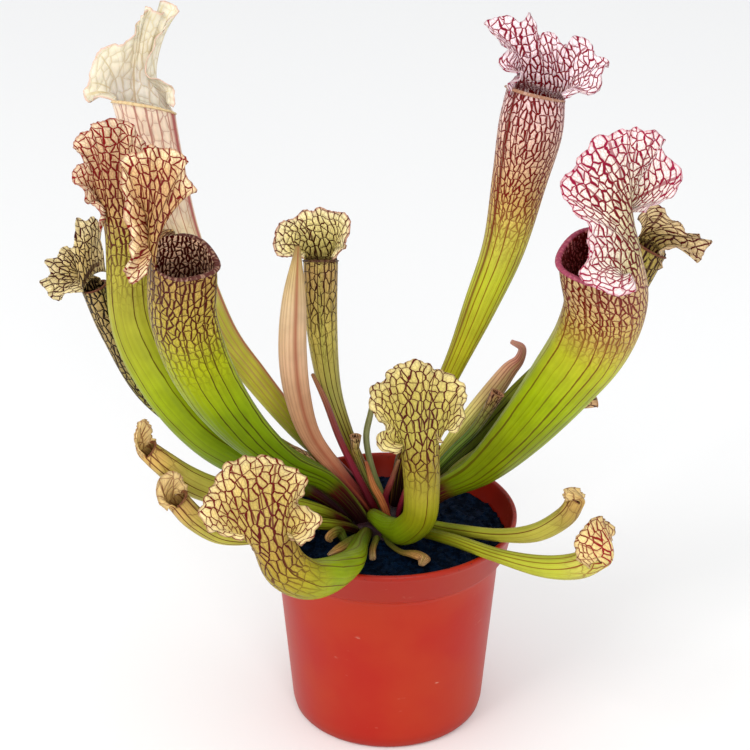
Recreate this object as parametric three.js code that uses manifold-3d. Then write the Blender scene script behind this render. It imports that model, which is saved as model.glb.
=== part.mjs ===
// A pitcher plant (a garden hybrid of the North American kind) in a round plastic nursery pot.
// Millimetres, +Z up. The origin is the centre of the pot's flat underside.
// The plant leans out on all sides: tall trumpets left and right, small ones low over the rim.
import * as THREE from "three";
import { mergeVertices } from "three/addons/utils/BufferGeometryUtils.js";
import Module from "manifold-3d";

const wasm = await Module();
wasm.setup();

// Driving dimensions of the pot
const POT_HEIGHT = 102;
const POT_LIP_RADIUS = 60;
const POT_FOOT_RADIUS = 45.5;
const POT_BODY_TOP_RADIUS = 52;
const POT_WALL = 1.7;
const POT_FLOOR = 2;
const COLLAR_DROP = 16;
const COLLAR_FOOT_RADIUS = 56;
const POT_SIDES = 36;
const DRAIN_HOLE_RADIUS = 3.5;
const DRAIN_HOLE_COUNT = 8;
const DRAIN_RING_RADIUS = 31;

// Driving dimensions of the filling and of the rootstock
const SOIL_LEVEL = 91;
const SOIL_ROUGHNESS = 0.9;
const SOIL_RINGS = 3;
const CROWN_CENTRE = new THREE.Vector3(-2, 9, 0);
const CROWN_RADIUS = 19.5;
const CROWN_TOP = 95;
const CROWN_BOTTOM = 77;
const CROWN_SIDES = 22;
const ROOT_LENGTH = 34;
const ROOT_RADIUS = 1.3;
const GAP = 0.3;

// Thickness of a pitcher's wall and hood
const WALL = 0.9;
// How far a leaf sits clear of the plain hole that it stands in
const HOLE_CLEARANCE = 0.55;
const HOLE_SIDES = 6;
const HOLE_TOP = 97;
const HOLE_MOST_ROWS = 3;

// How finely a leaf is divided. "back" faces of the ring carry the hood, the others the rolled lip
const LARGE = { around: 21, back: 16, rows: 11, hoodRows: 4, lipRows: 2, hollowRows: 3 };
const MIDDLE = { around: 14, back: 9, rows: 9, hoodRows: 4, lipRows: 2, hollowRows: 2 };
const SMALL = { around: 10, back: 6, rows: 7, hoodRows: 3, lipRows: 1, hollowRows: 1 };
const BLADE = { around: 8, rows: 7 };
const STALK = { around: 7, rows: 6 };

// Colours as the plant shows them in daylight
const LIME = 0x8fae2c;
const OLIVE = 0x9a9a4a;
const CREAM_PINK = 0xd9c3b4;
const ROSE_NET = 0xc08a86;
const SALMON = 0xd6a184;
const CRIMSON = 0x7a2430;
const BRONZE = 0x7d6a3a;
const STRAW = 0xc9b078;
const YELLOW_GREEN = 0xb5b05a;

// Every leaf. "route" runs from its foot in the rootstock to its mouth or tip, with a half width
// for each point in "radii". "front" is the way the mouth looks, "margin" the edge of the hood from
// one end of its root to the other, and "heart" the point that the hood bulges away from.
const LEAVES = [
  {
    name: "pitcher_left_front", colour: LIME, detail: LARGE, front: [0.9, -0.4, 0.2], backAngle: 62,
    route: [[-11, 7, 83], [-13, 6, 95], [-29, 2, 117], [-50, -4, 132], [-68, -12, 155],
      [-82, -22, 185], [-88, -32, 215], [-87, -46, 247]],
    radii: [2, 2.3, 4.3, 7, 10.5, 13.2, 13.8, 12.2],
    margin: [[-90, -38, 259], [-81, -40, 275], [-83, -42, 288], [-97, -44, 295],
      [-109, -48, 285], [-108, -54, 264], [-106, -58, 245], [-98, -56, 242]],
    heart: [-97, -50, 273], keel: 3, slant: 1.5, waves: 4,
  },
  {
    name: "pitcher_left_middle", colour: LIME, detail: LARGE, front: [0.8, 0.5, -0.2], backAngle: 80,
    route: [[-15, 11, 83], [-18, 10, 93], [-34, 11, 107], [-60, 10, 119], [-82, 12, 134],
      [-101, 16, 157], [-115, 22, 187], [-117, 26, 228]],
    radii: [2, 2.2, 4, 7, 9.5, 10.8, 11, 9.8],
    margin: [[-113, 34, 232], [-108, 34, 247], [-106, 32, 269], [-114, 28, 280], [-124, 24, 283],
      [-137, 22, 273], [-139, 20, 261], [-129, 18, 247], [-129, 18, 235]],
    heart: [-121, 22, 261], keel: 2, waves: 5,
  },
  {
    name: "pitcher_left_back", colour: OLIVE, detail: MIDDLE, front: [0.6, -0.6, 0.5], backAngle: 85,
    route: [[-15, 16, 83], [-17, 16, 92], [-24, 20, 99], [-42, 30, 107], [-80, 38, 116],
      [-113, 42, 140], [-129, 42, 173], [-136, 40, 198]],
    radii: [1.8, 1.9, 2.2, 2.6, 3, 3.6, 4.6, 5.6],
    margin: [[-131, 48, 202], [-131, 50, 219], [-136, 50, 229], [-143, 48, 227], [-145, 44, 217],
      [-154, 38, 215], [-160, 34, 203], [-154, 34, 194], [-141, 36, 195]],
    heart: [-142, 42, 209], waves: 4,
  },
  {
    name: "pitcher_left_tall", colour: CREAM_PINK, detail: LARGE, front: [0.1, -0.9, 0.4], backAngle: 85,
    route: [[-8, 24, 83], [-9, 25, 92], [-14, 28, 99], [-25, 34, 108], [-43, 42, 124], [-63, 50, 147],
      [-80, 54, 171], [-97, 58, 214], [-106, 60, 248], [-111, 60, 277]],
    radii: [1.8, 2.2, 2.6, 3, 4.6, 5.8, 7, 9.5, 11.8, 13],
    margin: [[-97, 56, 280], [-102, 58, 289], [-107, 60, 299], [-102, 66, 309], [-95, 70, 321],
      [-107, 70, 321], [-116, 66, 309], [-130, 60, 306], [-135, 56, 296], [-136, 52, 283],
      [-124, 54, 282]],
    heart: [-117, 62, 292], slant: -5, waves: 4,
  },
  {
    name: "pitcher_centre", colour: OLIVE, detail: MIDDLE, front: [0, -0.9, 0.4], backAngle: 80,
    route: [[-1, 24, 83], [-2, 25, 94], [-13, 31, 110], [-22, 37, 130], [-28, 42, 149],
      [-31, 44, 179], [-31, 44, 209]],
    radii: [1.6, 2, 2.6, 3.6, 5.2, 7, 7.6],
    margin: [[-24, 40, 211], [-19, 36, 219], [-17, 38, 229], [-22, 42, 234], [-31, 46, 235],
      [-41, 44, 230], [-51, 38, 227], [-51, 34, 219], [-39, 38, 213]],
    heart: [-33, 42, 222], slant: -3, waves: 4,
  },
  {
    name: "pitcher_right_tall", colour: ROSE_NET, detail: LARGE, front: [-0.3, -0.9, 0.4], backAngle: 80,
    route: [[4, 22, 83], [4, 23, 94], [8, 26, 118], [20, 30, 138], [32, 34, 163], [43, 36, 191],
      [53, 38, 219], [59, 38, 251], [63, 36, 275], [65, 34, 292]],
    radii: [1.8, 2.3, 3, 3.8, 4.8, 7.4, 9.4, 12, 14, 12.8],
    margin: [[77, 26, 292], [92, 26, 297], [96, 30, 306], [85, 36, 317], [72, 42, 314],
      [61, 44, 323], [43, 38, 324], [48, 32, 310], [54, 26, 304], [52, 24, 294]],
    heart: [67, 38, 304], slant: -4.5, waves: 5,
  },
  {
    name: "pitcher_right_front", colour: LIME, detail: LARGE, front: [-0.9, -0.4, 0.2], backAngle: 80,
    route: [[9, 6, 83], [12, 6, 94], [24, 8, 108], [44, 6, 122], [61, 2, 143], [78, -4, 170],
      [90, -10, 193], [94, -20, 217], [90, -36, 243]],
    radii: [2, 2.4, 4.6, 8, 11.6, 15, 17, 17.4, 15.5],
    margin: [[100, -52, 235], [90, -56, 234], [81, -58, 240], [80, -56, 254], [81, -54, 264],
      [74, -52, 271], [70, -50, 279], [78, -46, 291], [98, -42, 302], [112, -38, 294],
      [120, -36, 278], [116, -34, 265], [107, -32, 261]],
    heart: [94, -46, 270], keel: 3, waves: 5,
  },
  {
    name: "pitcher_right_back", colour: OLIVE, detail: MIDDLE, front: [0.2, -0.7, 0.7], backAngle: 85,
    route: [[10, 15, 83], [12, 16, 93], [25, 24, 108], [43, 30, 124], [62, 34, 144], [85, 38, 166],
      [108, 42, 190], [121, 44, 215]],
    radii: [2, 2.3, 3.6, 5, 6, 6.6, 7, 7.4],
    margin: [[119, 38, 206], [127, 38, 215], [135, 40, 216], [144, 42, 210], [149, 44, 219],
      [138, 46, 221], [136, 48, 227], [127, 50, 232], [119, 52, 233], [115, 52, 226]],
    heart: [127, 46, 220], waves: 4,
  },
  {
    name: "pitcher_front", colour: YELLOW_GREEN, detail: LARGE, front: [0, 0.9, -0.4], backAngle: 85,
    footFront: [0.3, 0.2, 1],
    route: [[-6, 5, 83], [-6, 5, 95], [-6, 0, 99], [0, -9, 99], [7, -17, 101], [14, -24, 112],
      [15, -29, 130], [14, -33, 150]],
    radii: [2, 2.4, 3, 4.2, 6.2, 7.2, 7.6, 8],
    margin: [[6, -40, 153], [-5, -38, 159], [-2, -34, 166], [-8, -30, 176], [-1, -28, 187],
      [13, -28, 192], [28, -28, 185], [34, -30, 175], [32, -34, 164], [23, -38, 168], [22, -40, 157]],
    heart: [13, -44, 178], waves: 5,
  },
  {
    name: "pitcher_front_left", colour: YELLOW_GREEN, detail: LARGE, front: [0, 0.9, -0.3], backAngle: 85,
    footFront: [0.1, 0.1, 1],
    route: [[-9, -3, 83], [-10, -5, 92], [-11, -14, 96.5], [-13, -30, 101], [-16, -58, 109], [-25, -78, 114],
      [-34, -90, 119], [-43, -94, 127], [-48, -96, 140]],
    radii: [1.9, 2.2, 2.8, 3.6, 5.2, 7.2, 8.3, 9, 8.4],
    margin: [[-59, -100, 145], [-71, -102, 148], [-77, -98, 154], [-75, -92, 165], [-66, -88, 173],
      [-52, -86, 175], [-38, -86, 169], [-35, -90, 161], [-29, -96, 151], [-36, -102, 142],
      [-41, -102, 144]],
    heart: [-51, -106, 165], waves: 5,
  },
  {
    name: "pitcher_low_left", colour: YELLOW_GREEN, detail: SMALL, front: [0.6, -0.1, 0.8], backAngle: 80,
    route: [[-17, 4, 83], [-18.5, 3.5, 92], [-24, -1, 99], [-35, -9, 108], [-57, -22, 120], [-77, -34, 131],
      [-89, -40, 140], [-98, -44, 150], [-104, -46, 157]],
    radii: [1.5, 1.7, 2.2, 3, 4.6, 5.6, 5.8, 5, 4.2],
    margin: [[-100, -42, 157], [-102, -40, 161], [-105, -42, 170], [-108, -46, 169],
      [-109, -50, 161], [-106, -50, 155]],
    heart: [-105, -46, 164], waves: 2,
  },
  {
    name: "pitcher_low_left_under", colour: STRAW, detail: SMALL, front: [0.7, 0, 0.7], backAngle: 80,
    route: [[-14, -1, 83], [-17, -3, 94], [-38, -21, 107], [-57, -38, 111], [-73, -50, 118],
      [-84, -56, 129], [-91, -58, 139]],
    radii: [1.4, 1.8, 2.6, 3.4, 4.2, 4.8, 4.6],
    margin: [[-86, -54, 139], [-88, -52, 145], [-93, -52, 150], [-99, -56, 148], [-99, -62, 141],
      [-95, -64, 137]],
    heart: [-93, -58, 144], waves: 2,
  },
  {
    name: "pitcher_low_right", colour: YELLOW_GREEN, detail: SMALL, front: [-0.7, -0.1, 0.7], backAngle: 80,
    route: [[8, 1, 83], [10, 0, 92], [17, -4, 97], [30, -12, 99], [50, -29, 105.5], [66, -38, 112],
      [78, -40, 121], [83, -39, 129]],
    radii: [1.4, 1.6, 1.8, 2.2, 2.6, 3.8, 4.2, 3.7],
    margin: [[77, -43, 130], [77, -41, 135], [83, -35, 133], [87, -33, 127], [86, -36, 123]],
    heart: [81, -39, 132], waves: 2,
  },
  {
    name: "pitcher_low_right_over_rim", colour: YELLOW_GREEN, detail: SMALL, front: [-0.4, -0.1, 0.9],
    backAngle: 85,
    route: [[6, -3, 83], [8, -4, 92], [15, -12, 97.5], [29, -27, 102], [49, -52, 108], [67, -66, 111],
      [81, -74, 116], [90, -76, 123]],
    radii: [1.4, 1.6, 2, 2.4, 2.8, 4.4, 5.4, 5.8],
    margin: [[85, -82, 119], [79, -84, 126], [80, -80, 135], [88, -72, 139], [95, -68, 133],
      [95, -68, 123], [91, -72, 117]],
    heart: [86, -78, 133], waves: 3,
  },
  {
    name: "leaf_centre_unopened", colour: SALMON, detail: BLADE, front: [0.3, -0.9, 0.2],
    route: [[-8, 15, 83], [-9, 15, 94], [-24, 18, 114], [-36, 22, 130], [-42, 26, 149],
      [-44, 28, 171], [-43, 30, 196], [-41, 32, 221]],
    radii: [1.8, 2.2, 3.2, 4.4, 5.8, 6.3, 5.2, 0.7],
    flatness: 0.6, keel: 1,
  },
  {
    name: "leaf_centre_red", colour: CRIMSON, detail: STALK, front: [1, -0.2, 0.1],
    route: [[-4, 11, 83], [-5, 11, 94], [-17, 15, 119], [-23, 20, 131], [-29, 24, 147], [-35, 28, 159]],
    radii: [1.5, 1.8, 1.8, 1.8, 1.6, 0.6],
    flatness: 0.6,
  },
  {
    name: "leaf_right_curled", colour: YELLOW_GREEN, detail: BLADE, front: [0.3, -0.9, 0.4],
    route: [[9, 20, 83], [10, 21, 92], [14, 25, 101], [26, 33, 115], [37, 36, 129], [49, 40, 143],
      [57, 42, 154], [62, 42, 160], [63, 40, 167], [58, 38, 171]],
    radii: [1.4, 1.6, 2, 2.4, 4, 4.6, 3.6, 2.2, 1.5, 0.7],
    flatness: 0.7,
  },
  {
    name: "pitcher_right_small", colour: BRONZE, detail: STALK, front: [0.2, -0.7, 0.7], mouth: true,
    route: [[5, 14, 83], [6, 15, 94], [28, 18, 121], [39, 22, 131], [46, 24, 141], [51, 24, 151]],
    radii: [1.2, 1.4, 1.6, 1.8, 2.2, 2.8],
  },
  {
    name: "pitcher_right_hidden", colour: BRONZE, detail: STALK, front: [-0.6, -0.3, 0.7], mouth: true,
    route: [[14, 10, 83], [16, 11, 93], [30, 17.3, 113], [46, 20, 125], [62, 20, 137], [79, 21, 145],
      [97, 24, 147]],
    radii: [1.2, 1.3, 1.5, 1.6, 1.7, 1.9, 2.4],
  },
  {
    name: "pitcher_left_hidden", colour: BRONZE, detail: STALK, front: [0.4, -0.6, 0.6], mouth: true,
    route: [[-12, 21, 83], [-14, 22, 94], [-29, 25, 112], [-46, 27, 121], [-59, 28, 130],
      [-65, 28, 138]],
    radii: [1.1, 1.2, 1.4, 1.5, 1.7, 2.6],
  },
  {
    name: "pitcher_centre_small", colour: BRONZE, detail: STALK, front: [0.2, -0.6, 0.8], mouth: true,
    route: [[-3, 18, 83], [-4, 18, 94], [-12, 22, 112], [-15, 21, 122], [-15, 21, 130]],
    radii: [1, 1.1, 1.2, 1.4, 2.2],
  },
  {
    name: "leaf_centre_grey_green", colour: OLIVE, detail: STALK, front: [-0.8, -0.3, 0.2],
    route: [[1, 17, 83], [0, 17, 94], [-7, 22, 112], [-10, 25, 127], [-8, 27, 139], [-5, 28, 153]],
    radii: [1.2, 1.3, 1.5, 1.6, 1.4, 0.6],
    flatness: 0.6,
  },
  {
    name: "leaf_left_bronze", colour: BRONZE, detail: STALK, front: [0.2, -0.3, 0.9],
    route: [[-11, 12, 83], [-13, 12, 94], [-23, 12, 108], [-33, 15, 116], [-43, 20, 123], [-55, 24, 124]],
    radii: [1.3, 1.4, 1.8, 2.4, 2.2, 0.6],
    flatness: 0.4,
  },
  {
    name: "leaf_left_withered", colour: STRAW, detail: STALK, front: [0.2, -0.3, 0.9],
    route: [[-20, 14, 83], [-22, 15, 92], [-27, 17, 97], [-34, 19, 102], [-42, 20, 106]],
    radii: [0.9, 1, 1.1, 1.1, 0.6],
    flatness: 0.6,
  },
  {
    name: "leaf_front_orange", colour: SALMON, detail: STALK, front: [0.8, 0.2, 0.2],
    route: [[0, 7, 83], [0, 7, 94], [-3, 5, 105], [-7, 4, 114], [-10, 5, 125]],
    radii: [1.5, 1.9, 2.1, 1.8, 0.6],
    flatness: 0.6,
  },
  {
    name: "leaf_front_red", colour: CRIMSON, detail: STALK, front: [-0.8, 0.1, 0.3],
    route: [[0, 12, 83], [0, 12, 94], [-1, 13, 102], [2, 12, 112], [5, 12, 122]],
    radii: [1.3, 1.6, 1.8, 1.5, 0.6],
    flatness: 0.6,
  },
  {
    name: "leaf_front_red_short", colour: CRIMSON, detail: STALK, front: [-0.8, 0.1, 0.3],
    route: [[4, 10, 83], [5, 10, 94], [7, 11, 102], [10, 14, 110], [13, 17, 119]],
    radii: [1.2, 1.4, 1.5, 1.3, 0.6],
    flatness: 0.6,
  },
  {
    name: "leaf_front_drying", colour: STRAW, detail: STALK, front: [0.1, 0.2, 1],
    route: [[-1, -4, 83], [-1, -7, 92.5], [1, -16, 93.5], [6, -24, 94], [12, -28, 95], [16, -31, 94.5],
      [15, -35, 93.5]],
    radii: [1.1, 1.2, 1.2, 1.5, 2.6, 2, 0.6],
    flatness: 0.45,
  },
  {
    name: "leaf_front_stub", colour: STRAW, detail: STALK, front: [0.1, 0.2, 1],
    route: [[-5, -5, 83], [-5, -8, 92], [-6, -15, 93.5], [-7, -21, 93.4], [-7, -28, 93]],
    radii: [1, 1, 1.1, 1.1, 1.2],
    flatness: 0.7,
  },
];

const toVector = (triple) => new THREE.Vector3(...triple);
const smooth = (x) => x * x * (3 - 2 * x);

// A mesh that grows vertex by vertex, then becomes one solid
class Skin {
  constructor() {
    this.points = [];
    this.triangles = [];
  }

  add(point) {
    this.points.push(point);
    return this.points.length - 1;
  }

  // Two triangles between neighbouring rows of vertices, without the ones that pinch to nothing
  quad(a, b, c, d, into = this.triangles) {
    for (const corner of [[a, b, c], [a, c, d]]) {
      if (new Set(corner).size === 3) {
        into.push(corner);
      }
    }
  }

  // The rows are joined one to the next, around the ring where it is closed
  rows(rows, closed, into = this.triangles) {
    for (let i = 0; i + 1 < rows.length; i += 1) {
      const count = closed ? rows[i].length : rows[i].length - 1;
      for (let j = 0; j < count; j += 1) {
        const k = (j + 1) % rows[i].length;
        this.quad(rows[i][j], rows[i][k], rows[i + 1][k], rows[i + 1][j], into);
      }
    }
  }

  // A closed ring is filled with a fan about its middle
  fan(ring, reversed) {
    const middle = new THREE.Vector3();
    ring.forEach((id) => middle.addScaledVector(this.points[id], 1 / ring.length));
    const centre = this.add(middle);
    ring.forEach((id, j) => {
      const next = ring[(j + 1) % ring.length];
      this.triangles.push(reversed ? [next, id, centre] : [id, next, centre]);
    });
  }

  volume() {
    const cross = new THREE.Vector3();
    return this.triangles.reduce((sum, [a, b, c]) => {
      cross.crossVectors(this.points[b], this.points[c]);
      return sum + this.points[a].dot(cross) / 6;
    }, 0);
  }

  toSolid() {
    const flipped = this.volume() < 0;
    const order = flipped ? ([a, b, c]) => [a, c, b] : (corner) => corner;
    const geometry = new THREE.BufferGeometry();
    const flat = this.points.flatMap((point) => [point.x, point.y, point.z]);
    geometry.setAttribute("position", new THREE.Float32BufferAttribute(flat, 3));
    geometry.setIndex(this.triangles.flatMap(order));
    return toManifold(geometry);
  }
}

function toManifold(source) {
  const bare = source.clone();
  bare.deleteAttribute("normal");
  bare.deleteAttribute("uv");
  const merged = mergeVertices(bare, 1e-4);
  const mesh = new wasm.Mesh({
    numProp: 3,
    vertProperties: new Float32Array(merged.attributes.position.array),
    triVerts: new Uint32Array(merged.index.array),
  });
  return new wasm.Manifold(mesh);
}

function toGeometry(solid) {
  const mesh = solid.getMesh();
  const geometry = new THREE.BufferGeometry();
  geometry.setAttribute("position", new THREE.BufferAttribute(mesh.vertProperties, 3));
  geometry.setIndex(new THREE.BufferAttribute(mesh.triVerts, 1));
  geometry.computeVertexNormals();
  return geometry;
}

// Crumbs that a cut leaves loose are dropped
function mainBody(solid) {
  return solid.decompose().reduce((best, body) => (body.volume() > best.volume() ? body : best));
}

// Half widths along a route are read from the same kind of curve as the route itself
function alongRoute(values) {
  const curve = new THREE.CatmullRomCurve3(
    values.map((value) => new THREE.Vector3(value, 0, 0)), false, "catmullrom", 0.5);
  return (t) => Math.max(curve.getPoint(t).x, 0.3);
}

// Place, direction, back and side of the leaf at one point of its route
function stationMaker(leaf) {
  const route = new THREE.CatmullRomCurve3(leaf.route.map(toVector), false, "catmullrom", 0.5);
  const radius = alongRoute(leaf.radii);
  const mouthFront = toVector(leaf.front).normalize();
  const footFront = toVector(leaf.footFront ?? leaf.front).normalize();
  return (t) => {
    const along = route.getTangent(t);
    const front = footFront.clone().lerp(mouthFront, smooth(t));
    front.addScaledVector(along, -front.dot(along)).normalize();
    const back = front.clone().negate();
    const side = new THREE.Vector3().crossVectors(along, back).normalize();
    return { centre: route.getPoint(t), along, front, back, side, radius: radius(t) };
  };
}

// Angles of a ring's vertices: the back arc first, from one end of the hood's root to the other
function ringAngles(leaf) {
  const { around, back } = leaf.detail;
  if (!leaf.backAngle) {
    return Array.from({ length: around }, (_, j) => (j / around) * 2 * Math.PI);
  }
  const root = THREE.MathUtils.degToRad(leaf.backAngle);
  return Array.from({ length: around }, (_, j) => (
    j <= back
      ? root * (2 * (j / back) - 1)
      : root + ((j - back) / (around - back)) * 2 * (Math.PI - root)
  ));
}

// One ring of a tube. A keel runs up the front, and the mouth slants where the leaf says so
function ringPoint(leaf, station, t, angle) {
  const flatness = leaf.flatness ?? 1;
  const keelWidth = 0.28;
  const away = Math.abs(angle - Math.PI) / keelWidth;
  const keel = (leaf.keel ?? 0) * Math.sin(Math.PI * t) ** 0.7 * Math.exp(-away * away);
  const slant = (leaf.slant ?? 0) * Math.cos(angle) * smooth(Math.max(0, (t - 0.7) / 0.3));
  return station.centre.clone()
    .addScaledVector(station.side, station.radius * Math.sin(angle))
    .addScaledVector(station.back, station.radius * flatness * Math.cos(angle))
    .addScaledVector(station.front, keel)
    .addScaledVector(station.along, slant);
}

// The hood sweeps from the back of the mouth to its waved margin along cubic arcs
function hoodRows(leaf, skin, mouth, station) {
  const { back, hoodRows: count } = leaf.detail;
  const margin = new THREE.CatmullRomCurve3(leaf.margin.map(toVector), false, "catmullrom", 0.5);
  const heart = toVector(leaf.heart);
  const rise = 0.4;
  const tuck = 0.35;
  const waveHeight = 1.3;
  const rows = [mouth.slice(0, back + 1)];
  for (let m = 1; m <= count; m += 1) {
    const q = m / count;
    const row = [];
    for (let j = 0; j <= back; j += 1) {
      const t = j / back;
      const root = skin.points[mouth[j]];
      const edge = margin.getPoint(t);
      const reach = edge.distanceTo(root);
      const up = root.clone().addScaledVector(station.along, reach * rise);
      const tucked = edge.clone().lerp(heart, tuck);
      const outward = edge.clone().sub(heart).normalize();
      const normal = margin.getTangent(t).cross(outward).normalize();
      const wave = waveHeight * Math.sin(leaf.waves * 2 * Math.PI * t) * q ** 2.5;
      const arc = new THREE.CubicBezierCurve3(root, up, tucked, edge);
      row.push(skin.add(arc.getPoint(q).addScaledVector(normal, wave)));
    }
    rows.push(row);
  }
  return rows;
}

// The lip rolls outward over the front of the mouth and dies away into the hood's two roots
function lipRows(leaf, skin, mouth, station) {
  const { around, back, lipRows: count } = leaf.detail;
  const front = [...mouth.slice(back), mouth[0]];
  const roll = THREE.MathUtils.degToRad(150);
  const radius = Math.min(1.5, station.radius * 0.2);
  const rows = [front];
  for (let m = 1; m <= count; m += 1) {
    const turn = (m / count) * roll;
    rows.push(front.map((id, j) => {
      if (j === 0 || j === around - back) {
        return id;
      }
      const fullness = radius * Math.sin((Math.PI * j) / (around - back)) ** 0.6;
      const outward = skin.points[id].clone().sub(station.centre);
      outward.addScaledVector(station.along, -outward.dot(station.along)).normalize();
      return skin.add(skin.points[id].clone()
        .addScaledVector(outward, fullness * (1 - Math.cos(turn)))
        .addScaledVector(station.along, fullness * Math.sin(turn)));
    }));
  }
  return rows;
}

// A whole leaf: its foot is solid, and from the hollow's floor up it is a thin wall
function leafSolid(leaf) {
  const skin = new Skin();
  const stationAt = stationMaker(leaf);
  const angles = ringAngles(leaf);
  const { rows } = leaf.detail;
  const rings = [];
  for (let i = 0; i <= rows; i += 1) {
    const t = i / rows;
    const station = stationAt(t);
    rings.push(angles.map((angle) => skin.add(ringPoint(leaf, station, t, angle))));
  }
  if (!leaf.margin && !leaf.mouth) {
    skin.rows(rings, true);
    skin.fan(rings[0], true);
    skin.fan(rings[rows], false);
    return skin.toSolid();
  }
  const floorRow = rows - (leaf.detail.hollowRows ?? 1);
  const walled = [];
  skin.rows(rings.slice(0, floorRow + 1), true);
  skin.rows(rings.slice(floorRow), true, walled);
  if (leaf.margin) {
    const station = stationAt(1);
    skin.rows(hoodRows(leaf, skin, rings[rows], station), false, walled);
    skin.rows(lipRows(leaf, skin, rings[rows], station), false, walled);
  }
  thicken(skin, walled, rings[floorRow]);
  skin.fan(rings[0], true);
  return skin.toSolid();
}

// Both faces of the wall stand half a wall's thickness off the surface, with triangles alike
function thicken(skin, walled, floorRing) {
  const count = skin.points.length;
  const normals = Array.from({ length: count }, () => new THREE.Vector3());
  const first = new THREE.Vector3();
  const second = new THREE.Vector3();
  [...skin.triangles, ...walled].forEach(([a, b, c]) => {
    first.subVectors(skin.points[b], skin.points[a]);
    second.subVectors(skin.points[c], skin.points[a]);
    first.cross(second);
    [a, b, c].forEach((id) => normals[id].add(first));
  });
  const inner = new Map();
  walled.flat().forEach((id) => {
    if (!inner.has(id)) {
      const offset = normals[id].clone().setLength(-WALL / 2);
      inner.set(id, skin.add(skin.points[id].clone().add(offset)));
    }
  });
  for (let id = 0; id < count; id += 1) {
    skin.points[id].add(normals[id].clone().setLength(WALL / 2));
  }
  const edges = new Set(walled.flatMap(([a, b, c]) => [`${a},${b}`, `${b},${c}`, `${c},${a}`]));
  const floor = new Set(floorRing);
  walled.forEach(([a, b, c]) => {
    skin.triangles.push([a, b, c]);
    skin.triangles.push([inner.get(a), inner.get(c), inner.get(b)]);
  });
  edges.forEach((edge) => {
    const [a, b] = edge.split(",").map(Number);
    const open = !edges.has(`${b},${a}`);
    if (open && !(floor.has(a) && floor.has(b))) {
      skin.quad(b, a, inner.get(a), inner.get(b));
    }
  });
  skin.fan(floorRing.map((id) => inner.get(id)), false);
}

// The room that a leaf's foot needs, a plain tube a little wider than the leaf
function footRoom(leaf) {
  const skin = new Skin();
  const stationAt = stationMaker(leaf);
  const widen = 1 / Math.cos(Math.PI / HOLE_SIDES);
  const { rows } = leaf.detail;
  const exitRow = Array.from({ length: rows }, (_, i) => i)
    .find((i) => i === HOLE_MOST_ROWS || stationAt(i / rows).centre.z > HOLE_TOP);
  const rings = Array.from({ length: exitRow + 1 }, (_, i) => i / rows).map((t) => {
    const station = stationAt(t);
    const radius = (station.radius + WALL / 2) * widen + HOLE_CLEARANCE;
    if (t === 0) {
      station.centre.addScaledVector(station.along, -HOLE_CLEARANCE - WALL / 2);
    }
    return Array.from({ length: HOLE_SIDES }, (_, j) => {
      const angle = (j / HOLE_SIDES) * 2 * Math.PI;
      return skin.add(station.centre.clone()
        .addScaledVector(station.side, radius * Math.sin(angle))
        .addScaledVector(station.back, radius * Math.cos(angle)));
    });
  });
  skin.rows(rings, true);
  skin.fan(rings[0], true);
  skin.fan(rings[rings.length - 1], false);
  return skin.toSolid();
}

function lathe(profile, sides) {
  const geometry = new THREE.LatheGeometry(profile.map(([r, z]) => new THREE.Vector2(r, z)), sides);
  geometry.rotateX(Math.PI / 2);
  return geometry;
}

function potSolid() {
  const collarZ = POT_HEIGHT - COLLAR_DROP;
  const outside = [
    [0, 0], [POT_FOOT_RADIUS - 5, 0], [POT_FOOT_RADIUS - 1.6, 1.6], [POT_FOOT_RADIUS, 6],
    [POT_BODY_TOP_RADIUS, collarZ - 1], [COLLAR_FOOT_RADIUS, collarZ],
    [POT_LIP_RADIUS - 0.6, POT_HEIGHT - 2], [POT_LIP_RADIUS, POT_HEIGHT - 1],
    [POT_LIP_RADIUS - 0.7, POT_HEIGHT],
  ];
  const inside = [
    [POT_LIP_RADIUS - 1.9, POT_HEIGHT - 0.6], [COLLAR_FOOT_RADIUS - POT_WALL, collarZ + POT_WALL],
    [POT_BODY_TOP_RADIUS - POT_WALL, collarZ], [POT_FOOT_RADIUS - POT_WALL, 6],
    [POT_FOOT_RADIUS - 5, POT_FLOOR], [0, POT_FLOOR],
  ];
  let pot = toManifold(lathe([...outside, ...inside], POT_SIDES));
  for (let k = 0; k < DRAIN_HOLE_COUNT; k += 1) {
    const angle = ((k + 0.5) / DRAIN_HOLE_COUNT) * 2 * Math.PI;
    const drill = new THREE.CylinderGeometry(DRAIN_HOLE_RADIUS, DRAIN_HOLE_RADIUS, 3 * POT_FLOOR, 10);
    drill.rotateX(Math.PI / 2);
    drill.translate(DRAIN_RING_RADIUS * Math.cos(angle), DRAIN_RING_RADIUS * Math.sin(angle), 1);
    pot = pot.subtract(toManifold(drill));
  }
  return pot;
}

// The rootstock: a lumpy cushion in the filling, with a few roots below it
function crownProfile(grow) {
  return [
    [0, CROWN_BOTTOM - grow], [11, CROWN_BOTTOM - grow], [CROWN_RADIUS - 3 + grow, CROWN_BOTTOM + 3],
    [CROWN_RADIUS + grow, CROWN_BOTTOM + 8], [CROWN_RADIUS - 1 + grow, CROWN_TOP - 5],
    [CROWN_RADIUS - 6 + grow, CROWN_TOP - 2 + grow], [7, CROWN_TOP - 0.5 + grow], [0, CROWN_TOP + grow],
  ];
}

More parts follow.
